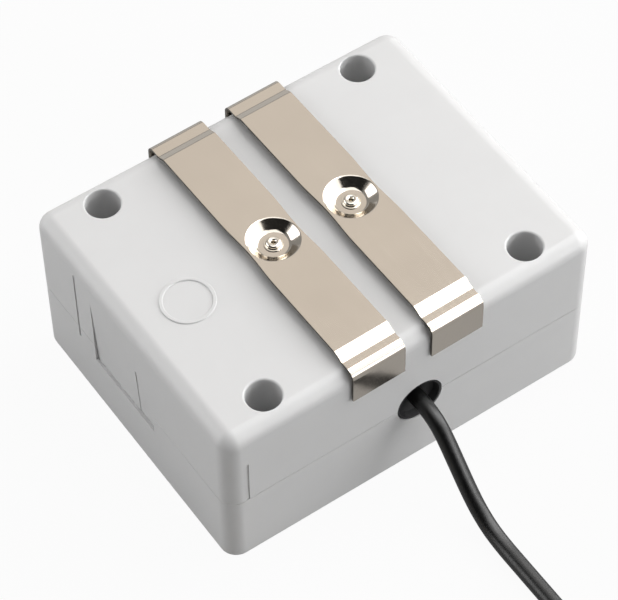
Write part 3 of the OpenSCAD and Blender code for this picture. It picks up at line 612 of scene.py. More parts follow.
def solder_mask():
    """Glass-epoxy laminate under green lacquer: tracks show as paler raised lines."""
    material, tree, output = new_material("solder mask")
    place = add_node(tree, "TexCoord")
    cells = add_node(tree, "TexVoronoi", {"distance": "MANHATTAN", "feature": "F2",
                                          "Scale": 1 / (TRACK_PITCH * MM)},
                     {"Vector": (place, "Object")})
    lines = add_node(tree, "Math", {"operation": "PINGPONG", 1: TRACK_CYCLE},
                     {0: (cells, "Distance")})
    shaded(tree, output,
           (lines, *TRACK_EDGE, hex_to_linear("#0E5A30"), hex_to_linear("#1D7A43")),
           (grained(tree, 0.6, 2.0), 0.2, 0.3), (lines, 0.5, 0.03),
           **{"Coat Weight": 0.3, "IOR": 1.55})
    return material


# Camera: its direction round and up and its roll in degrees, how far off it is, and the point
# that it faces

CAMERA_DIRECTION, CAMERA_ROLL = (-123.945, 53.046), -0.976
CAMERA_REACH = 566.92
CAMERA_TARGET = (-2.189, -1.649, 18.0)
SENSOR_W = 36
SIGHT_M = 20


def set_up(name, data, middle, direction, reach, target, roll=0.0):
    """A camera or lamp, round and up from a middle by degrees, that faces a target."""
    azimuth, elevation = map(radians, direction)
    place = metres(Vector(middle) + reach * Vector((
        cos(azimuth) * cos(elevation), sin(azimuth) * cos(elevation),
        sin(elevation))))
    turn = (metres(target) - place).to_track_quat("-Z", "Y").to_matrix().to_4x4()
    obj = bpy.data.objects.new(name, data)
    bpy.context.collection.objects.link(obj)
    obj.matrix_world = Matrix.Translation(place) @ turn @ Matrix.Rotation(
        radians(roll), 4, "Z")
    return obj


class LEAK_OT_camera(bpy.types.Operator):
    """Adds the camera at the photographed angle"""
    bl_idname = "leak.camera"
    bl_label = "Camera"

    def execute(self, context):
        data = bpy.data.cameras.new("camera")
        data.lens = context.scene.leak_stage.lens
        data.sensor_width = SENSOR_W
        data.clip_end = SIGHT_M
        context.scene.camera = set_up("camera", data, CAMERA_TARGET, CAMERA_DIRECTION,
                                      CAMERA_REACH, CAMERA_TARGET, CAMERA_ROLL)
        return {"FINISHED"}


# Cable

def slope(points, i):
    """Direction of a route at one of its points."""
    return (points[min(i + 1, len(points) - 1)] - points[max(i - 1, 0)]).normalized()


def along(points, steps):
    """A smooth line through a route's points."""
    line = []
    for i, (a, b) in enumerate(zip(points, points[1:])):
        reach = (b - a).length
        for u in (k / steps for k in range(steps)):
            w = u * u * (3 - 2 * u)
            bow = slope(points, i) * (1 - u) - slope(points, i + 1) * u
            line.append(a * (1 - w) + b * w + reach * u * (1 - u) * bow)
    return line + [points[-1]]


def coil_point(t):
    """Point of the coil after t turns: in on the floor, up a layer, and out again."""
    half = COIL_TURNS + COIL_CLIMB / 2
    climb = (1 - cos(pi * min(max((t - COIL_TURNS) / COIL_CLIMB, 0), 1))) / 2
    r = COIL_OUT_R - COIL_PITCH * (t if t < half else 2 * half - t)
    a = -tau * t
    return Vector((COIL_X + r * cos(a), COIL_Y + r * sin(a),
                   FLOOR_RUN_Z + COIL_PITCH * climb))


def cable_line():
    """The whole centreline of the free cable, in metres."""
    turns = 2 * COIL_TURNS + COIL_CLIMB
    count = round(turns * COIL_RINGS)
    coil = [coil_point(turns * i / count) for i in range(count + 1)]
    lead = Vector((0, COIL_LEAD, 0))
    line = along([Vector(p) for p in ROUTE], ROUTE_STEPS) + coil + [coil[-1] + lead]
    return [p * MM for p in line]


class LEAK_OT_cable(bpy.types.Operator):
    """Lays the signal cable along its route and coils up its spare length"""
    bl_idname = "leak.cable"
    bl_label = "Cable"

    def execute(self, context):
        line = cable_line()
        data = bpy.data.curves.new("signal_cable", "CURVE")
        data.dimensions = "3D"
        data.bevel_depth = context.scene.leak_cable.diameter / 2
        data.bevel_resolution = 4
        data.use_fill_caps = True
        spline = data.splines.new("POLY")
        spline.points.add(len(line) - 1)
        for point, place in zip(spline.points, line):
            point.co = (*place, 1)
        spline.use_smooth = True
        cable = bpy.data.objects.new("signal_cable", data)
        context.collection.objects.link(cable)
        carry(cable, ["cable_run", "cable_coil"], pvc_jacket())
        return {"FINISHED"}


# Plug. Heights run along the plug's own axis, from the cable's end

PLUG_PLACE = (COIL_X - COIL_OUT_R, COIL_Y + COIL_LEAD, FLOOR_RUN_Z + COIL_PITCH)
# Lengths of the strain relief, handle, collar, sleeve and insulator, and where each ends
HANDLE_Z, COLLAR_Z, SLEEVE_Z, INSULATOR_Z, TIP_Z = accumulate((12, 20, 1.2, 8, 0.7))
TIP_L = 5.3
HANDLE_R, COLLAR_R, JACK_R = 5.4, 3.9, 1.75
RELIEF_RIBS, FLUTES = 5, 12


def along_plug(name, profile):
    """A piece turned about the plug's axis."""
    return turned(name, profile, COARSE, PLUG_PLACE, (0, 1, 0))


def plug_body_profile():
    """Strain relief with five ribs, then a waisted handle, then the front collar."""
    profile = [(2.1, 0)]
    for i in range(RELIEF_RIBS):
        low, root, crest = i * (HANDLE_Z / RELIEF_RIBS), 2.15 + 0.2 * i, 2.65 + 0.22 * i
        profile += [(root, low + 0.35), (crest, low + 0.6), (crest + 0.04, low + 1.5),
                    (root + 0.15, low + 1.8)]
    profile += arc(HANDLE_R - 1.5, HANDLE_Z + 1.5, 1.5, -75, 0, 6)
    profile += [(HANDLE_R - 0.35, HANDLE_Z + 6), (HANDLE_R - 0.45, HANDLE_Z + 10),
                (HANDLE_R - 0.35, HANDLE_Z + 14)]
    profile += arc(HANDLE_R - 1.3, COLLAR_Z - 1.3, 1.3, 0, 75, 6)
    return profile + [(COLLAR_R, COLLAR_Z), (COLLAR_R, SLEEVE_Z - 0.2),
                      (COLLAR_R - 0.2, SLEEVE_Z)]


def plug_grips():
    """Flutes cut along the handle, for the fingers."""
    x, y, z = PLUG_PLACE
    r = HANDLE_R + 0.25
    return [turned("flute", [(0.25, 0), (0.6, 1), (0.6, 10), (0.25, 11)], 12,
                   (x + r * cos(a), y + HANDLE_Z + 4.5, z + r * sin(a)), (0, 1, 0))
            for a in (tau * i / FLUTES for i in range(FLUTES))]


class LEAK_OT_plug(bpy.types.Operator):
    """Turns the jack plug at the cable's end"""
    bl_idname = "leak.plug"
    bl_label = "Plug"

    def execute(self, context):
        body = along_plug("plug_handle", plug_body_profile())
        cut(body, gather("flutes", plug_grips()))
        sleeve = along_plug("plug_sleeve_turned", [
            (JACK_R - 0.05, SLEEVE_Z), (JACK_R, SLEEVE_Z + 0.1), (JACK_R, INSULATOR_Z - 0.12),
            (JACK_R - 0.08, INSULATOR_Z)])
        rim = JACK_R - 0.06
        ring = along_plug("plug_insulator_ring", [
            (rim, INSULATOR_Z), (JACK_R, INSULATOR_Z + 0.06), (JACK_R, TIP_Z - 0.06),
            (rim, TIP_Z)])
        tip = along_plug("plug_tip_turned", [(r, TIP_Z + z) for r, z in (
            (rim, 0), (JACK_R, 0.08), (JACK_R, 1.3), (1.32, 1.85), (1.14, 2.35), (1.2, 2.75),
            (1.5, 3.15), (1.45, 3.6), (1.1, 4.3), (0.72, 4.95), (0.35, TIP_L - 0.06),
            (0.2, TIP_L))])
        carry(body, ["plug_body"],
              made_of("black moulding", "plug TPE", "#232324", 0.55), 38)
        gold = made_of("gold plate")
        carry(sleeve, ["plug_sleeve"], gold, 38)
        carry(ring, ["plug_insulator"],
              made_of("black moulding", "plug ring", "#17171A"), 38)
        carry(tip, ["plug_tip"], gold, 38)
        return {"FINISHED"}


# Housing

def rim(name, outer, inner, low, high):
    """A closed ring round the housing's walls, from inner to outer millimetres out of them."""
    ring = rounded_block(name, INNER_L + outer, INNER_W + outer, low, high, INNER_R + outer)
    cut(ring, rounded_block("rim_hole", INNER_L + inner, INNER_W + inner, low - OVER,
                            high + OVER, INNER_R + inner))
    return ring


def cable_hole():
    """Cutter for the round cable hole, half in each shell."""
    return turned("cable_hole", [(CABLE_HOLE_R, 0), (CABLE_HOLE_R, WALL + 2 * OVER)], FINE,
                  (CABLE_X, -INNER_W + OVER, PART_Z), (0, -1, 0))


def side_recesses():
    """Cutters for the wedge-shaped recess and its lower step in the left side."""
    face = -HALF_L
    foot, top = RECESS_Z
    wedge = prism("recess", [(face - OVER, foot), (face + RECESS, foot), (face, top),
                             (face - OVER, top)], *RECESS_Y, "y")
    step = prism("recess_step", STEP_OUTLINE, face - OVER, face + OVER, "x")
    for vertex in step.data.vertices:
        if vertex.co.x > face * MM:
            slant = RECESS * (top - vertex.co.z / MM) / (top - foot)
            vertex.co.x = (face + slant + RECESS_STEP) * MM
    return wedge, step


def end_groove(low, high):
    """Cutter for a stretch of the groove near the far end of the left side."""
    near, far = END_GROOVE_Y
    return block("end_groove", (-HALF_L - OVER, near, low), (-HALF_L + END_GROOVE, far, high))


def raised_ring():
    """The plain ring that stands a little out of the top face."""
    inside, knee, crest = MARK_R - MARK_LINE, TOP_Z + MARK_RISE * 0.4, TOP_Z + MARK_RISE
    ring = turned("mark", [(MARK_R, TOP_Z - OVER), (MARK_R, knee), (MARK_R - MARK_SLOPE, crest)],
                  FINE, MARK_PLACE)
    cut(ring, turned("mark_hole", [
        (inside, TOP_Z - 2 * OVER), (inside, knee), (inside + MARK_SLOPE, crest),
        (inside + MARK_SLOPE, TOP_Z + OVER)], FINE, MARK_PLACE))
    return ring


class LEAK_OT_base_shell(bpy.types.Operator):
    """Moulds the base shell, which carries the contact strips"""
    bl_idname = "leak.base_shell"
    bl_label = "Base shell"

    def execute(self, context):
        shell = rounded_block("base_shell_moulding", HALF_L, HALF_W, PART_Z, TOP_Z, CORNER_R,
                              top=EDGE_R)
        below = PART_Z - OVER
        cut(shell, rounded_block("cavity", INNER_L, INNER_W, below, CEILING, INNER_R,
                                 top=EDGE_R - WALL))
        post = rod("post", WELL_R + WELL_WALL, PART_Z, CEILING + WALL / 2, sides=MEDIUM)
        join_on(shell, *copied(post, WELLS))
        cut(shell, rim("rebate", TONGUE_T + SLIP, -SLIP, below, PART_Z + TONGUE_H + SEAL_H))
        cut(shell, rim("shadow_line", WALL + OVER, WALL - REVEAL, below, PART_Z + REVEAL))
        lip = arc(WELL_R + WELL_LIP, TOP_Z - WELL_LIP, WELL_LIP, 180, 90, 5)
        well = [(WELL_R, WELL_SEAT), *lip, (WELL_R + WELL_LIP, TOP_Z + OVER)]
        cut_at(shell, turned("well", well, FINE), WELLS)
        cut_at(shell, rod("bore", SCREW_R + 2 * SLIP, below, WELL_SEAT + OVER), WELLS)
        cut_at(shell, rod("rivet_hole", RIVET_R + SNUG, CEILING - OVER, TOP_Z + OVER), STRIPS)
        cut(shell, cable_hole(), *side_recesses())
        cut(shell, end_groove(below, END_GROOVE_Z[1]))
        near, far = SIDE_GROOVE_X
        cut(shell, block("side_groove", (near, -HALF_W - OVER, PART_Z + REVEAL),
                         (far, -HALF_W + SIDE_GROOVE, SIDE_GROOVE_TOP)))
        soften(shell, context.scene.leak_housing.edge)
        join_on(shell, raised_ring())
        carry(shell, ["base_shell"], moulded_abs(), 32)
        return {"FINISHED"}


class LEAK_OT_front_cover(bpy.types.Operator):
    """Moulds the front cover, with its posts, saddle, guides and holes"""
    bl_idname = "leak.front_cover"
    bl_label = "Front cover"

    def execute(self, context):
        inside, above = WALL / 2, PART_Z + OVER
        cover = rounded_block("front_cover_moulding", HALF_L, HALF_W, 0, PART_Z, CORNER_R,
                              bottom=FRONT_R)
        cut(cover, rounded_block("cavity", INNER_L, INNER_W, WALL, above, INNER_R))
        join_on(cover, rim("tongue", TONGUE_T, 0, PART_Z - OVER, PART_Z + TONGUE_H))
        join_on(cover, *copied(rod("post", COVER_POST_R, inside, PART_Z, sides=MEDIUM), WELLS))
        join_on(cover, *copied(rod("board_post", POST_R, inside, BOARD_Z), POSTS))
        join_on(cover, block("saddle",
                             (CABLE_X - SADDLE_HALF, SADDLE_Y - SADDLE_T / 2, inside),
                             (CABLE_X + SADDLE_HALF, SADDLE_Y + SADDLE_T / 2, PART_Z)))
        for x, radius, top in GUIDES:
            guide = rod("guide", radius + GUIDE_WALL, inside, top, x, MEDIUM)
            cut(guide, rod("guide_hole", radius, 0, top + OVER, x, MEDIUM))
            join_on(cover, guide)
        boss = WALL + BOSS_FLOOR
        clamp = [(CABLE_X - CLAMP_X, SADDLE_Y, 0), (CABLE_X + CLAMP_X, SADDLE_Y, 0)]
        for radius, low, high, places in (
                (SCREW_R + SNUG, WELL_SEAT - SCREW_L - OVER, above, WELLS),
                (POST_BORE, boss, BOARD_Z + OVER, POSTS), (POST_BORE, boss, above, clamp)):
            cut_at(cover, rod("bore", radius, low, high), places)
        cut(cover, turned("cable_groove", [(CABLE_R + SNUG, 0), (CABLE_R + SNUG, 3 * SADDLE_T)],
                          COARSE, (CABLE_X, SADDLE_Y + SADDLE_T, PART_Z), (0, -1, 0)))
        mouth = BUTTON_R + BUTTON_GAP
        cut(cover, turned("button_hole", [
            (mouth + BUTTON_CHAMFER + 0.2, -0.2), (mouth, BUTTON_CHAMFER),
            (mouth, WALL + OVER)], FINE, (BUTTON_X, 0, 0)))
        cut(cover, rod("pipe_hole", PIPE_R + SNUG, -OVER, WALL + OVER))
        ring = [(SOUNDER_X + SOUND_RING_R * cos(radians(a)),
                 SOUND_RING_R * sin(radians(a)), 0) for a in range(0, 360, 60)]
        cut_at(cover, rod("sound_hole", SOUND_HOLE_R, -OVER, WALL + OVER, sides=32),
               [(SOUNDER_X, 0, 0), *ring])
        cut(cover, cable_hole(), *side_recesses())
        cut(cover, end_groove(END_GROOVE_Z[0], above))
        soften(cover, context.scene.leak_housing.edge)
        carry(cover, ["front_cover"], moulded_abs(), 32)
        return {"FINISHED"}


# Contact strips

FLAT_END = 28.45
SHOULDER_Y, SHOULDER_Z = 30.25, 39.7
BEND_R = 1.95
FOLD_R = 0.5
FLAT_ROWS = (14.0, 18.0, 22.0, 25.5)
FLANGE_ROWS = (36.2, 33.8, FLANGE_LOW)
PATCH_HALF = 10.0
# Way round the square patch beside the dimple, in steps of a millimetre: direction and count
PATCH_WAY = ((0, 1, 10), (-1, 0, 12), (0, -1, 20), (1, 0, 12), (0, 1, 10))
MOUTH_ROUND = 0.2
DIMPLE_FLOOR_R, DIMPLE_FLOOR_Z = 3.2, 39.0
RIVET_FOOT_R = 1.9
NEAR = 1e-7


def end_profile():
    """Distance from the rivet and height of a strip's end, from the flat to its flange."""
    flat, slope_end = (FLAT_END, STRIP_TOP), (SHOULDER_Y, SHOULDER_Z)
    bend_y, bend_z = FLANGE_Y - BEND_R, SHOULDER_Z - BEND_R
    rows = [(PATCH_HALF, STRIP_TOP)] + [(y, STRIP_TOP) for y in FLAT_ROWS]
    rows += rounded_corner(rows[-1], flat, slope_end, FOLD_R, 5)
    rows += rounded_corner(flat, slope_end, (bend_y, SHOULDER_Z), FOLD_R, 5)
    rows += arc(bend_y, bend_z, BEND_R, 90, 0, 10)
    return rows + [(FLANGE_Y, z) for z in FLANGE_ROWS]


def dimple_profile(mouth):
    """Radius and height of the dimple, from its rounded mouth to the rivet's hole."""
    top, bottom = (mouth, STRIP_TOP), (DIMPLE_FLOOR_R, DIMPLE_FLOOR_Z)
    rows = [(mouth + MOUTH_ROUND, STRIP_TOP)]
    rows += rounded_corner((mouth + 1, STRIP_TOP), top, bottom, MOUTH_ROUND, 4)[1:]
    rows += rounded_corner(top, bottom, (0, DIMPLE_FLOOR_Z), FOLD_R, 5)
    return rows + [(RIVET_FOOT_R, DIMPLE_FLOOR_Z), (RIVET_R + SNUG, DIMPLE_FLOOR_Z)]


def patch_edge():
    """Places on the edge of the patch, one for each point of the dimple's mouth."""
    places = [(STRIP_HALF, 0.0)]
    for x, y, count in PATCH_WAY:
        places += [(places[-1][0] + x * i, places[-1][1] + y * i) for i in range(1, count + 1)]
    return places[:-1]


def draw_in(sheet, depth):
    """Pulls the sheet's long edges in beside the dimple, as pressing it did."""
    reach = PATCH_HALF - 1
    for vertex in sheet.data.vertices:
        x, y = vertex.co.x / MM, vertex.co.y / MM
        if abs(x) > STRIP_HALF - 0.01 and abs(y) < reach:
            pull = depth * cos(pi * y / 2 / reach) ** 2
            vertex.co.x = copysign((STRIP_HALF - pull) * MM, x)


def contact_sheet(name, looks):
    """Sheet with a dimple in its middle and a bent flange at each end."""
    profile = dimple_profile(looks.mouth / MM)
    mouth = profile[0][0]
    places = patch_edge()
    sheet = disc(name, len(places), mouth, STRIP_TOP, "NOTHING")
    choose(sheet, "EDGE")
    extrude_rings(profile)
    back_to_object()
    choose(sheet, "EDGE", lambda e: all(
        abs(v.co.xy.length - mouth * MM) < NEAR for v in e.verts))
    extrude()
    mesh = bmesh.from_edit_mesh(sheet.data)
    for vertex in (v for v in mesh.verts if v.select):
        turn = atan2(vertex.co.y, vertex.co.x) / tau
        vertex.co = metres((*places[round(turn * len(places)) % len(places)], STRIP_TOP))
    bmesh.update_edit_mesh(sheet.data)
    back_to_object()
    rows = end_profile()
    for side in (1, -1):
        choose(sheet, "EDGE", lambda e: all(
            abs(v.co.y - side * PATCH_HALF * MM) < NEAR for v in e.verts))
        for (y0, z0), (y1, z1) in zip(rows, rows[1:]):
            extrude(y=side * (y1 - y0), z=z1 - z0)
        back_to_object()
    draw_in(sheet, looks.drawn_in / MM)
    choose(sheet, "FACE")
    bpy.ops.mesh.remove_doubles(threshold=NEAR)
    bpy.ops.mesh.normals_make_consistent(inside=False)
    mesh = bmesh.from_edit_mesh(sheet.data)
    highest = max(mesh.faces, key=lambda f: f.calc_center_median().z)
    if highest.normal.z < 0:
        bpy.ops.mesh.flip_normals()
    back_to_object()
    apply_modifier(sheet, "SOLIDIFY", thickness=looks.thickness, offset=-1,
                   use_even_offset=True)
    return sheet


class LEAK_OT_strips(bpy.types.Operator):
    """Presses the two contact strips from sheet"""
    bl_idname = "leak.strips"
    bl_label = "Contact strips"

    def execute(self, context):
        looks = context.scene.leak_strips
        sheet = contact_sheet("strip", looks)
        sheet.data.transform(Matrix.Rotation(looks.askew, 4, "Z"))
        finish = satin_nickel()
        for copy, side in zip(copied(sheet, STRIPS), ("left", "right")):
            settle(copy, f"{side}_contact_strip_sheet")
            carry(copy, [f"{side}_contact_strip"], finish, 40)
        return {"FINISHED"}


class LEAK_OT_rivets(bpy.types.Operator):
    """Rolls the two tubular rivets over in the dimples"""
    bl_idname = "leak.rivets"
    bl_label = "Rivets"

    def execute(self, context):
        floor, tail = DIMPLE_FLOOR_Z, CEILING - 0.4
        profile = [(1.7, tail - 0.8), (1.3, tail), (RIVET_R, tail + 0.01), (RIVET_R, floor)]
        profile += [(r, floor + z) for r, z in (
            (1.84, 0.01), (1.89, 0.1), (1.82, 0.18), (1.6, 0.2))]
        profile += arc(0.98, floor + 0.42, 0.57, 0, 60, 6)
        profile += [(r, floor + z) for r, z in (
            (1.08, 0.98), (0.8, 0.96), (0.55, 0.86), (0.4, 0.62), (0.36, 0), (0.3, -0.6))]
        rivets = gather("strip_rivets_turned", copied(turned("rivet", profile, COARSE), STRIPS))
        carry(rivets, ["strip_rivets"], made_of("bright nickel plate"), 40)
        return {"FINISHED"}


# Screws, grommet and front face

THREAD_DEPTH, THREAD_PITCH, THREAD_HALF = 0.35, 1.1, 0.15
SCREW_HEAD_R = 2.75
ARM_L, ARM_W = 1.3, 0.38


def pan_head_screw(seat):
    """A thread-forming screw with a domed head and a cross recess."""
    tip, root, neck = seat - SCREW_L, SCREW_R - THREAD_DEPTH, SCREW_R - 0.2
    z = tip + 1.2
    profile = [(0.3, tip), (root, z)]
    while z < seat - 3:
        profile += [(root, z + 0.5 - THREAD_HALF), (SCREW_R, z + 0.5),
                    (root, z + 0.5 + THREAD_HALF)]
        z += THREAD_PITCH
    dome = seat + 0.95
    profile += [(neck, seat - 0.2), (neck, seat), (SCREW_HEAD_R - 0.1, seat + 0.01),
                (SCREW_HEAD_R, seat + 0.15), (SCREW_HEAD_R, dome)]
    profile += [(SCREW_HEAD_R * cos(a) ** 0.8, dome + 1.2 * sin(a))
                for a in (radians(a) for a in range(15, 76, 12))]
    profile.append((0.5, seat + 2.18))
    screw = turned("screw", profile, 40)
    cut(screw, *[block("arm", (-x, -y, seat + 1), (x, y, seat + 3))
                 for x, y in ((ARM_L, ARM_W), (ARM_W, ARM_L))])
    return screw


class LEAK_OT_screws(bpy.types.Operator):
    """Turns the four housing screws at the bottom of the wells"""
    bl_idname = "leak.screws"
    bl_label = "Housing screws"

    def execute(self, context):
        screws = gather("housing_screws_turned", copied(pan_head_screw(WELL_SEAT), WELLS))
        carry(screws, ["housing_screws"], made_of("zinc plate"), 35)
        return {"FINISHED"}


class LEAK_OT_grommet(bpy.types.Operator):
    """Moulds the rubber grommet that the cable comes out of"""
    bl_idname = "leak.grommet"
    bl_label = "Cable grommet"

    def execute(self, context):
        # Heights run into the housing, from a little behind its face
        face, seat = -1.7, 0.65
        place, inwards = (CABLE_X, -HALF_W + 1.8, PART_Z), (0, 1, 0)
        hole, snug = CABLE_HOLE_R - SLIP, CABLE_R + SNUG
        grommet = turned("cable_grommet_moulding", [
            (hole - 0.15, face), (hole, face + 0.12), (hole, seat),
            (CABLE_HOLE_R + 1.2, seat + 0.01), (CABLE_HOLE_R + 1.3, seat + 0.2),
            (CABLE_HOLE_R + 1.3, seat + 1.2), (CABLE_HOLE_R + 1.1, seat + 1.4)],
            MEDIUM, place, inwards)
        cut(grommet, turned("grommet_bore", [
            (4.9, face - 0.3), (4.65, face + 0.1), (4.4, -0.2), (4.0, 0.1), (3.0, 0.3),
            (2.2, 0.7), (snug, 1.2), (snug, 3)], MEDIUM, place, inwards))
        carry(grommet, ["cable_grommet"], made_of("nitrile"), 35)
        return {"FINISHED"}


class LEAK_OT_front_face(bpy.types.Operator):
    """Models the button and the light pipe that show in the front face"""
    bl_idname = "leak.front_face"
    bl_label = "Button and light pipe"

    def execute(self, context):
        stop, sink, dish, flange_r = WALL + SNUG, 0.5, 5.0, BUTTON_R + 1.2
        back = stop + 1.2
        profile = [(0.4, sink + 0.5)]
        profile += [(r, sink + 0.5 - 0.5 * (r / dish) ** 2) for r in (1.5, 2.5, 3.5, 4.3, dish)]
        profile += arc(BUTTON_R - 0.4, sink + 0.42, 0.4, -80, 0, 5)
        profile += [(BUTTON_R, stop), (flange_r, stop + 0.01), (flange_r, back),
                    (2.3, back + 0.01), (2.2, back + 0.2), (2.2, back + 0.75)]
        button = turned("test_button_moulding", profile, 72, (BUTTON_X, 0, 0))
        carry(button, ["test_button"],
              made_of("plain moulding", "button ABS"), 35, BUTTON_BODY)
        collar = PIPE_R + 0.9
        pipe = turned("light_pipe_moulding", [
            (0.9, 0.12), (1.35, 0.18), (PIPE_R, 0.4), (PIPE_R, WALL), (collar, WALL + 0.01),
            (collar, WALL + 1), (PIPE_R, WALL + 1.01), (PIPE_R, 5.4), (1.3, 5.6)], COARSE)
        carry(pipe, ["light_pipe"], made_of("clear acrylic"), 35)
        return {"FINISHED"}


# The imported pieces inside, which keep their shapes and get their finishes here: what each is
# made of, with the finish's own name, colour and roughness, or the function that makes it

INNER_FINISHES = {
    "housing_seal": ("nitrile", "seal rubber", "#3A3A3C"),
    "contact_tags": ("tinned brass",),
    "left_contact_wire": ("PVC insulation", "left wire PVC", "#2C5FA8"),
    "right_contact_wire": ("PVC insulation", "right wire PVC", "#2C5FA8"),
    "cable_clamp": ("black moulding", "clamp nylon", "#303032"),
    "clamp_screws": ("zinc plate",),
    "cable_inner_end": pvc_jacket,
    "red_core": ("PVC insulation", "red core PVC", "#B3262B"),
    "black_core": ("PVC insulation", "black core PVC"),
    "circuit_board": solder_mask,
    "board_screws": ("zinc plate",),
    "cable_terminal_block": ("plain moulding", "terminal nylon", "#2F8F52"),
    "terminal_screws": ("zinc plate",),
    "signal_relay": ("plain moulding", "relay PBT", "#E9E9E4"),
    "sounder": ("black moulding", "sounder ABS"),
    "controller_chip": ("black moulding", "chip epoxy", "#242426", 0.6),
    "supply_capacitor": ("shrink sleeve", "capacitor sleeve", "#27305A"),
    "battery_holder": ("black moulding", "holder ABS", "#232325"),
    "battery": ("shrink sleeve", "cell wrap"),
    "battery_contacts": ("zinc plate",),
    "probe_header": ("plain moulding", "header nylon", "#E6DFC6"),
    "test_switch_body": ("black moulding", "switch PBT", "#222224"),
    "test_switch_plunger": ("black moulding", "plunger POM", "#2A2A2C", 0.35),
    "status_led": ("tinted epoxy",),
}


class LEAK_OT_inner_pieces(bpy.types.Operator):
    """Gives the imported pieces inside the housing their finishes"""
    bl_idname = "leak.inner_pieces"
    bl_label = "Inner pieces"

    def execute(self, context):
        for node, entry in INNER_FINISHES.items():
            finish = entry() if callable(entry) else made_of(*entry)
            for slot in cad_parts[node].material_slots:
                slot.material = finish
        return {"FINISHED"}


# Stage

# Soft lamps: direction round and up in degrees, size in metres, and how bright they look
LAMP_REACH = 1400
LAMPS = (
    ("overhead lamp", -20, 87, (1.0, 1.0), 1.85),
    ("right lamp", 0, 50, (1.1, 1.1), 3.3),
    ("low right lamp", 0, 15, (1.0, 0.6), 4.4),
    ("low front right lamp", -45, 15, (1.0, 0.6), 3.9),
    ("low front lamp", -72, 15, (1.0, 0.6), 1.82),
    ("strip lamp", 48, 48, (1.1, 1.1), 0.6, "#FFF5EA"),
    ("left back lamp", 141, 19, (1.1, 1.1), 3.2),
)
# Cards beside, below and across from the camera, which only the metal mirrors
CARDS = (
    ("far mirrored card", 69, 8, (1.3, 0.5), 0.32),
    ("mirrored card", -32, 47, (1.2, 1.3), 1.9),
    ("low mirrored card", -67, 26, (0.6, 0.9), 1.3),
)
SKY_GREY = 0.02
MIRRORED_SKY = 0.35
# How evenly, and how brightly, metal mirrors the floor
FLOOR_IN_METAL = 0.75
FLOOR_GLOW = 0.5
FLOOR_R, FLOOR_Z = 3000, -0.02
FLOOR_TONE = "#BCBCBC"
# The side of the room with no lamps, which metal mirrors darkly: its middle, and the cosines
# at which it begins and is dark
UNLIT_SIDE = (-0.336, -0.499, 0.799)
UNLIT_EDGE = (0.55, 0.72)


def lit_side(tree):
    """How strongly metal mirrors the surroundings: less and less towards the unlit side."""
    place = add_node(tree, "TexCoord")
    facing = add_node(tree, "VectorMath", {"operation": "DOT_PRODUCT", 1: UNLIT_SIDE},
                      {0: (place, "Generated")})
    start, end = UNLIT_EDGE
    return add_node(tree, "MapRange", {"From Min": start, "From Max": end,
                                       "To Min": MIRRORED_SKY, "To Max": 0.0},
                    {"Value": (facing, "Value")})


def seen_as_white(tree, shader, kind, camera_share, mirror_share, glow, output, mirror_by=None):
    """Mixes plain white into what the camera and glass see of a shader, and a glow for metal."""
    path = add_node(tree, "LightPath")
    sharp = add_node(tree, "Math", {"operation": "MAXIMUM"},
                     {0: (path, "Is Camera Ray"), 1: (path, "Is Transmission Ray")})
    direct = add_node(tree, "Math", {"operation": "MULTIPLY", 1: camera_share},
                      {0: (sharp, "Value")})
    mirrored = add_node(tree, "Math", {"operation": "MULTIPLY", 1: mirror_share},
                        {0: (path, "Is Glossy Ray")})
    if mirror_by:
        tree.links.new(mirror_by.outputs["Result"], mirrored.inputs[1])
    part = add_node(tree, "Math", {"operation": "MAXIMUM"},
                    {0: (direct, "Value"), 1: (mirrored, "Value")})
    level = add_node(tree, "MapRange", {"To Min": 1.0, "To Max": glow},
                     {"Value": (path, "Is Glossy Ray")})
    white = add_node(tree, kind, {"Color": (1, 1, 1, 1)}, {"Strength": (level, "Result")})
    mix = add_node(tree, "MixShader", (), {0: (part, "Value"), 1: (shader, 0), 2: (white, 0)})
    tree.links.new(mix.outputs[0], output.inputs["Surface"])


def lamp(name, azimuth, elevation, size, radiance, tint="#FFFFFF"):
    """A soft panel lamp that points at the middle of the housing."""
    data = bpy.data.lights.new(name, "AREA")
    data.color = hex_to_linear(tint)
    data.shape = "RECTANGLE"
    data.size, data.size_y = size
    data.energy = pi * size[0] * size[1] * radiance
    return set_up(name, data, (0, 0, 0), (azimuth, elevation), LAMP_REACH, (0, 0, TOP_Z / 2))


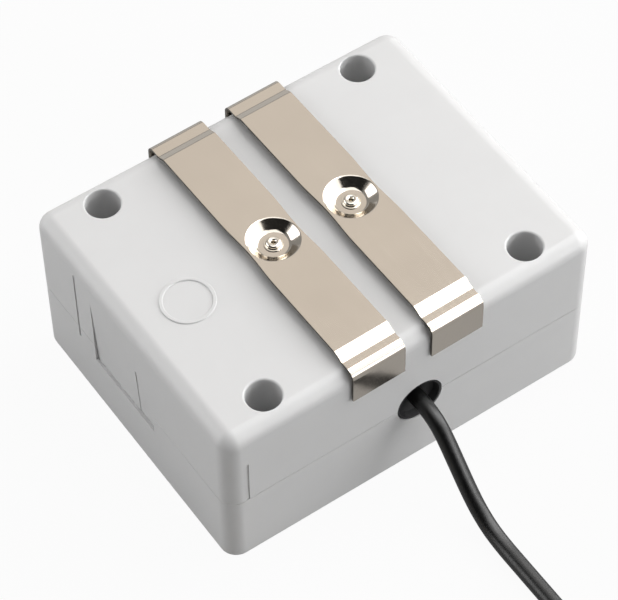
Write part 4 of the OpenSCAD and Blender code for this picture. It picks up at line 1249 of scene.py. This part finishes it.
class LEAK_OT_stage(bpy.types.Operator):
    """Lays the pale floor and sets the soft lamps and the white surroundings"""
    bl_idname = "leak.stage"
    bl_label = "Stage"

    def execute(self, context):
        floor = disc("floor", FINE, FLOOR_R, FLOOR_Z)
        material, tree, output = new_material("pale floor")
        paper = add_node(tree, "BsdfDiffuse",
                         {"Color": (*hex_to_linear(FLOOR_TONE), 1), "Roughness": 0.5})
        seen_as_white(tree, paper, "Emission", context.scene.leak_stage.white, FLOOR_IN_METAL,
                      FLOOR_GLOW, output)
        floor.data.materials.append(material)
        world = bpy.data.worlds.new("surroundings")
        context.scene.world = world
        world.use_nodes = True
        tree = world.node_tree
        tree.nodes.clear()
        output = add_node(tree, "OutputWorld")
        sky = add_node(tree, "Background", {"Color": (1, 1, 1, 1), "Strength": SKY_GREY})
        seen_as_white(tree, sky, "Background", 1.0, MIRRORED_SKY, 1.0, output, lit_side(tree))
        for settings in LAMPS:
            lamp(*settings)
        for card in CARDS:
            lamp(*card).visible_diffuse = False
        context.scene.view_settings.view_transform = "Standard"
        return {"FINISHED"}


STEPS = ("camera", "cable", "plug", "base_shell", "front_cover", "strips", "rivets", "screws",
         "grommet", "front_face", "inner_pieces", "stage")


class LEAK_PT_panel(bpy.types.Panel):
    """Lists the pieces in the sidebar"""
    bl_idname = "LEAK_PT_panel"
    bl_label = "Leak Controller"
    bl_space_type = "VIEW_3D"
    bl_region_type = "UI"
    bl_category = "Leak Controller"

    def draw(self, context):
        for step in STEPS:
            self.layout.operator(f"leak.{step}")
        for group in (getattr(context.scene, name) for name in GROUPS):
            for name in group.__annotations__:
                self.layout.prop(group, name)


GROUPS = {"leak_housing": LEAK_PG_housing, "leak_strips": LEAK_PG_strips,
          "leak_cable": LEAK_PG_cable, "leak_stage": LEAK_PG_stage}
CLASSES = (*GROUPS.values(), LEAK_OT_camera, LEAK_OT_cable, LEAK_OT_plug, LEAK_OT_base_shell,
           LEAK_OT_front_cover, LEAK_OT_strips, LEAK_OT_rivets, LEAK_OT_screws,
           LEAK_OT_grommet, LEAK_OT_front_face, LEAK_OT_inner_pieces, LEAK_OT_stage,
           LEAK_PT_panel)


def register():
    """Registers the classes and their settings."""
    for cls in CLASSES:
        bpy.utils.register_class(cls)
    for name, group in GROUPS.items():
        setattr(bpy.types.Scene, name, PointerProperty(type=group))


def unregister():
    """Takes the settings and classes out again."""
    for name in GROUPS:
        delattr(bpy.types.Scene, name)
    for cls in reversed(CLASSES):
        bpy.utils.unregister_class(cls)


def main():
    """Makes every piece in order."""
    register()
    for step in STEPS:
        getattr(bpy.ops.leak, step)()


if __name__ == "__main__":
    main()
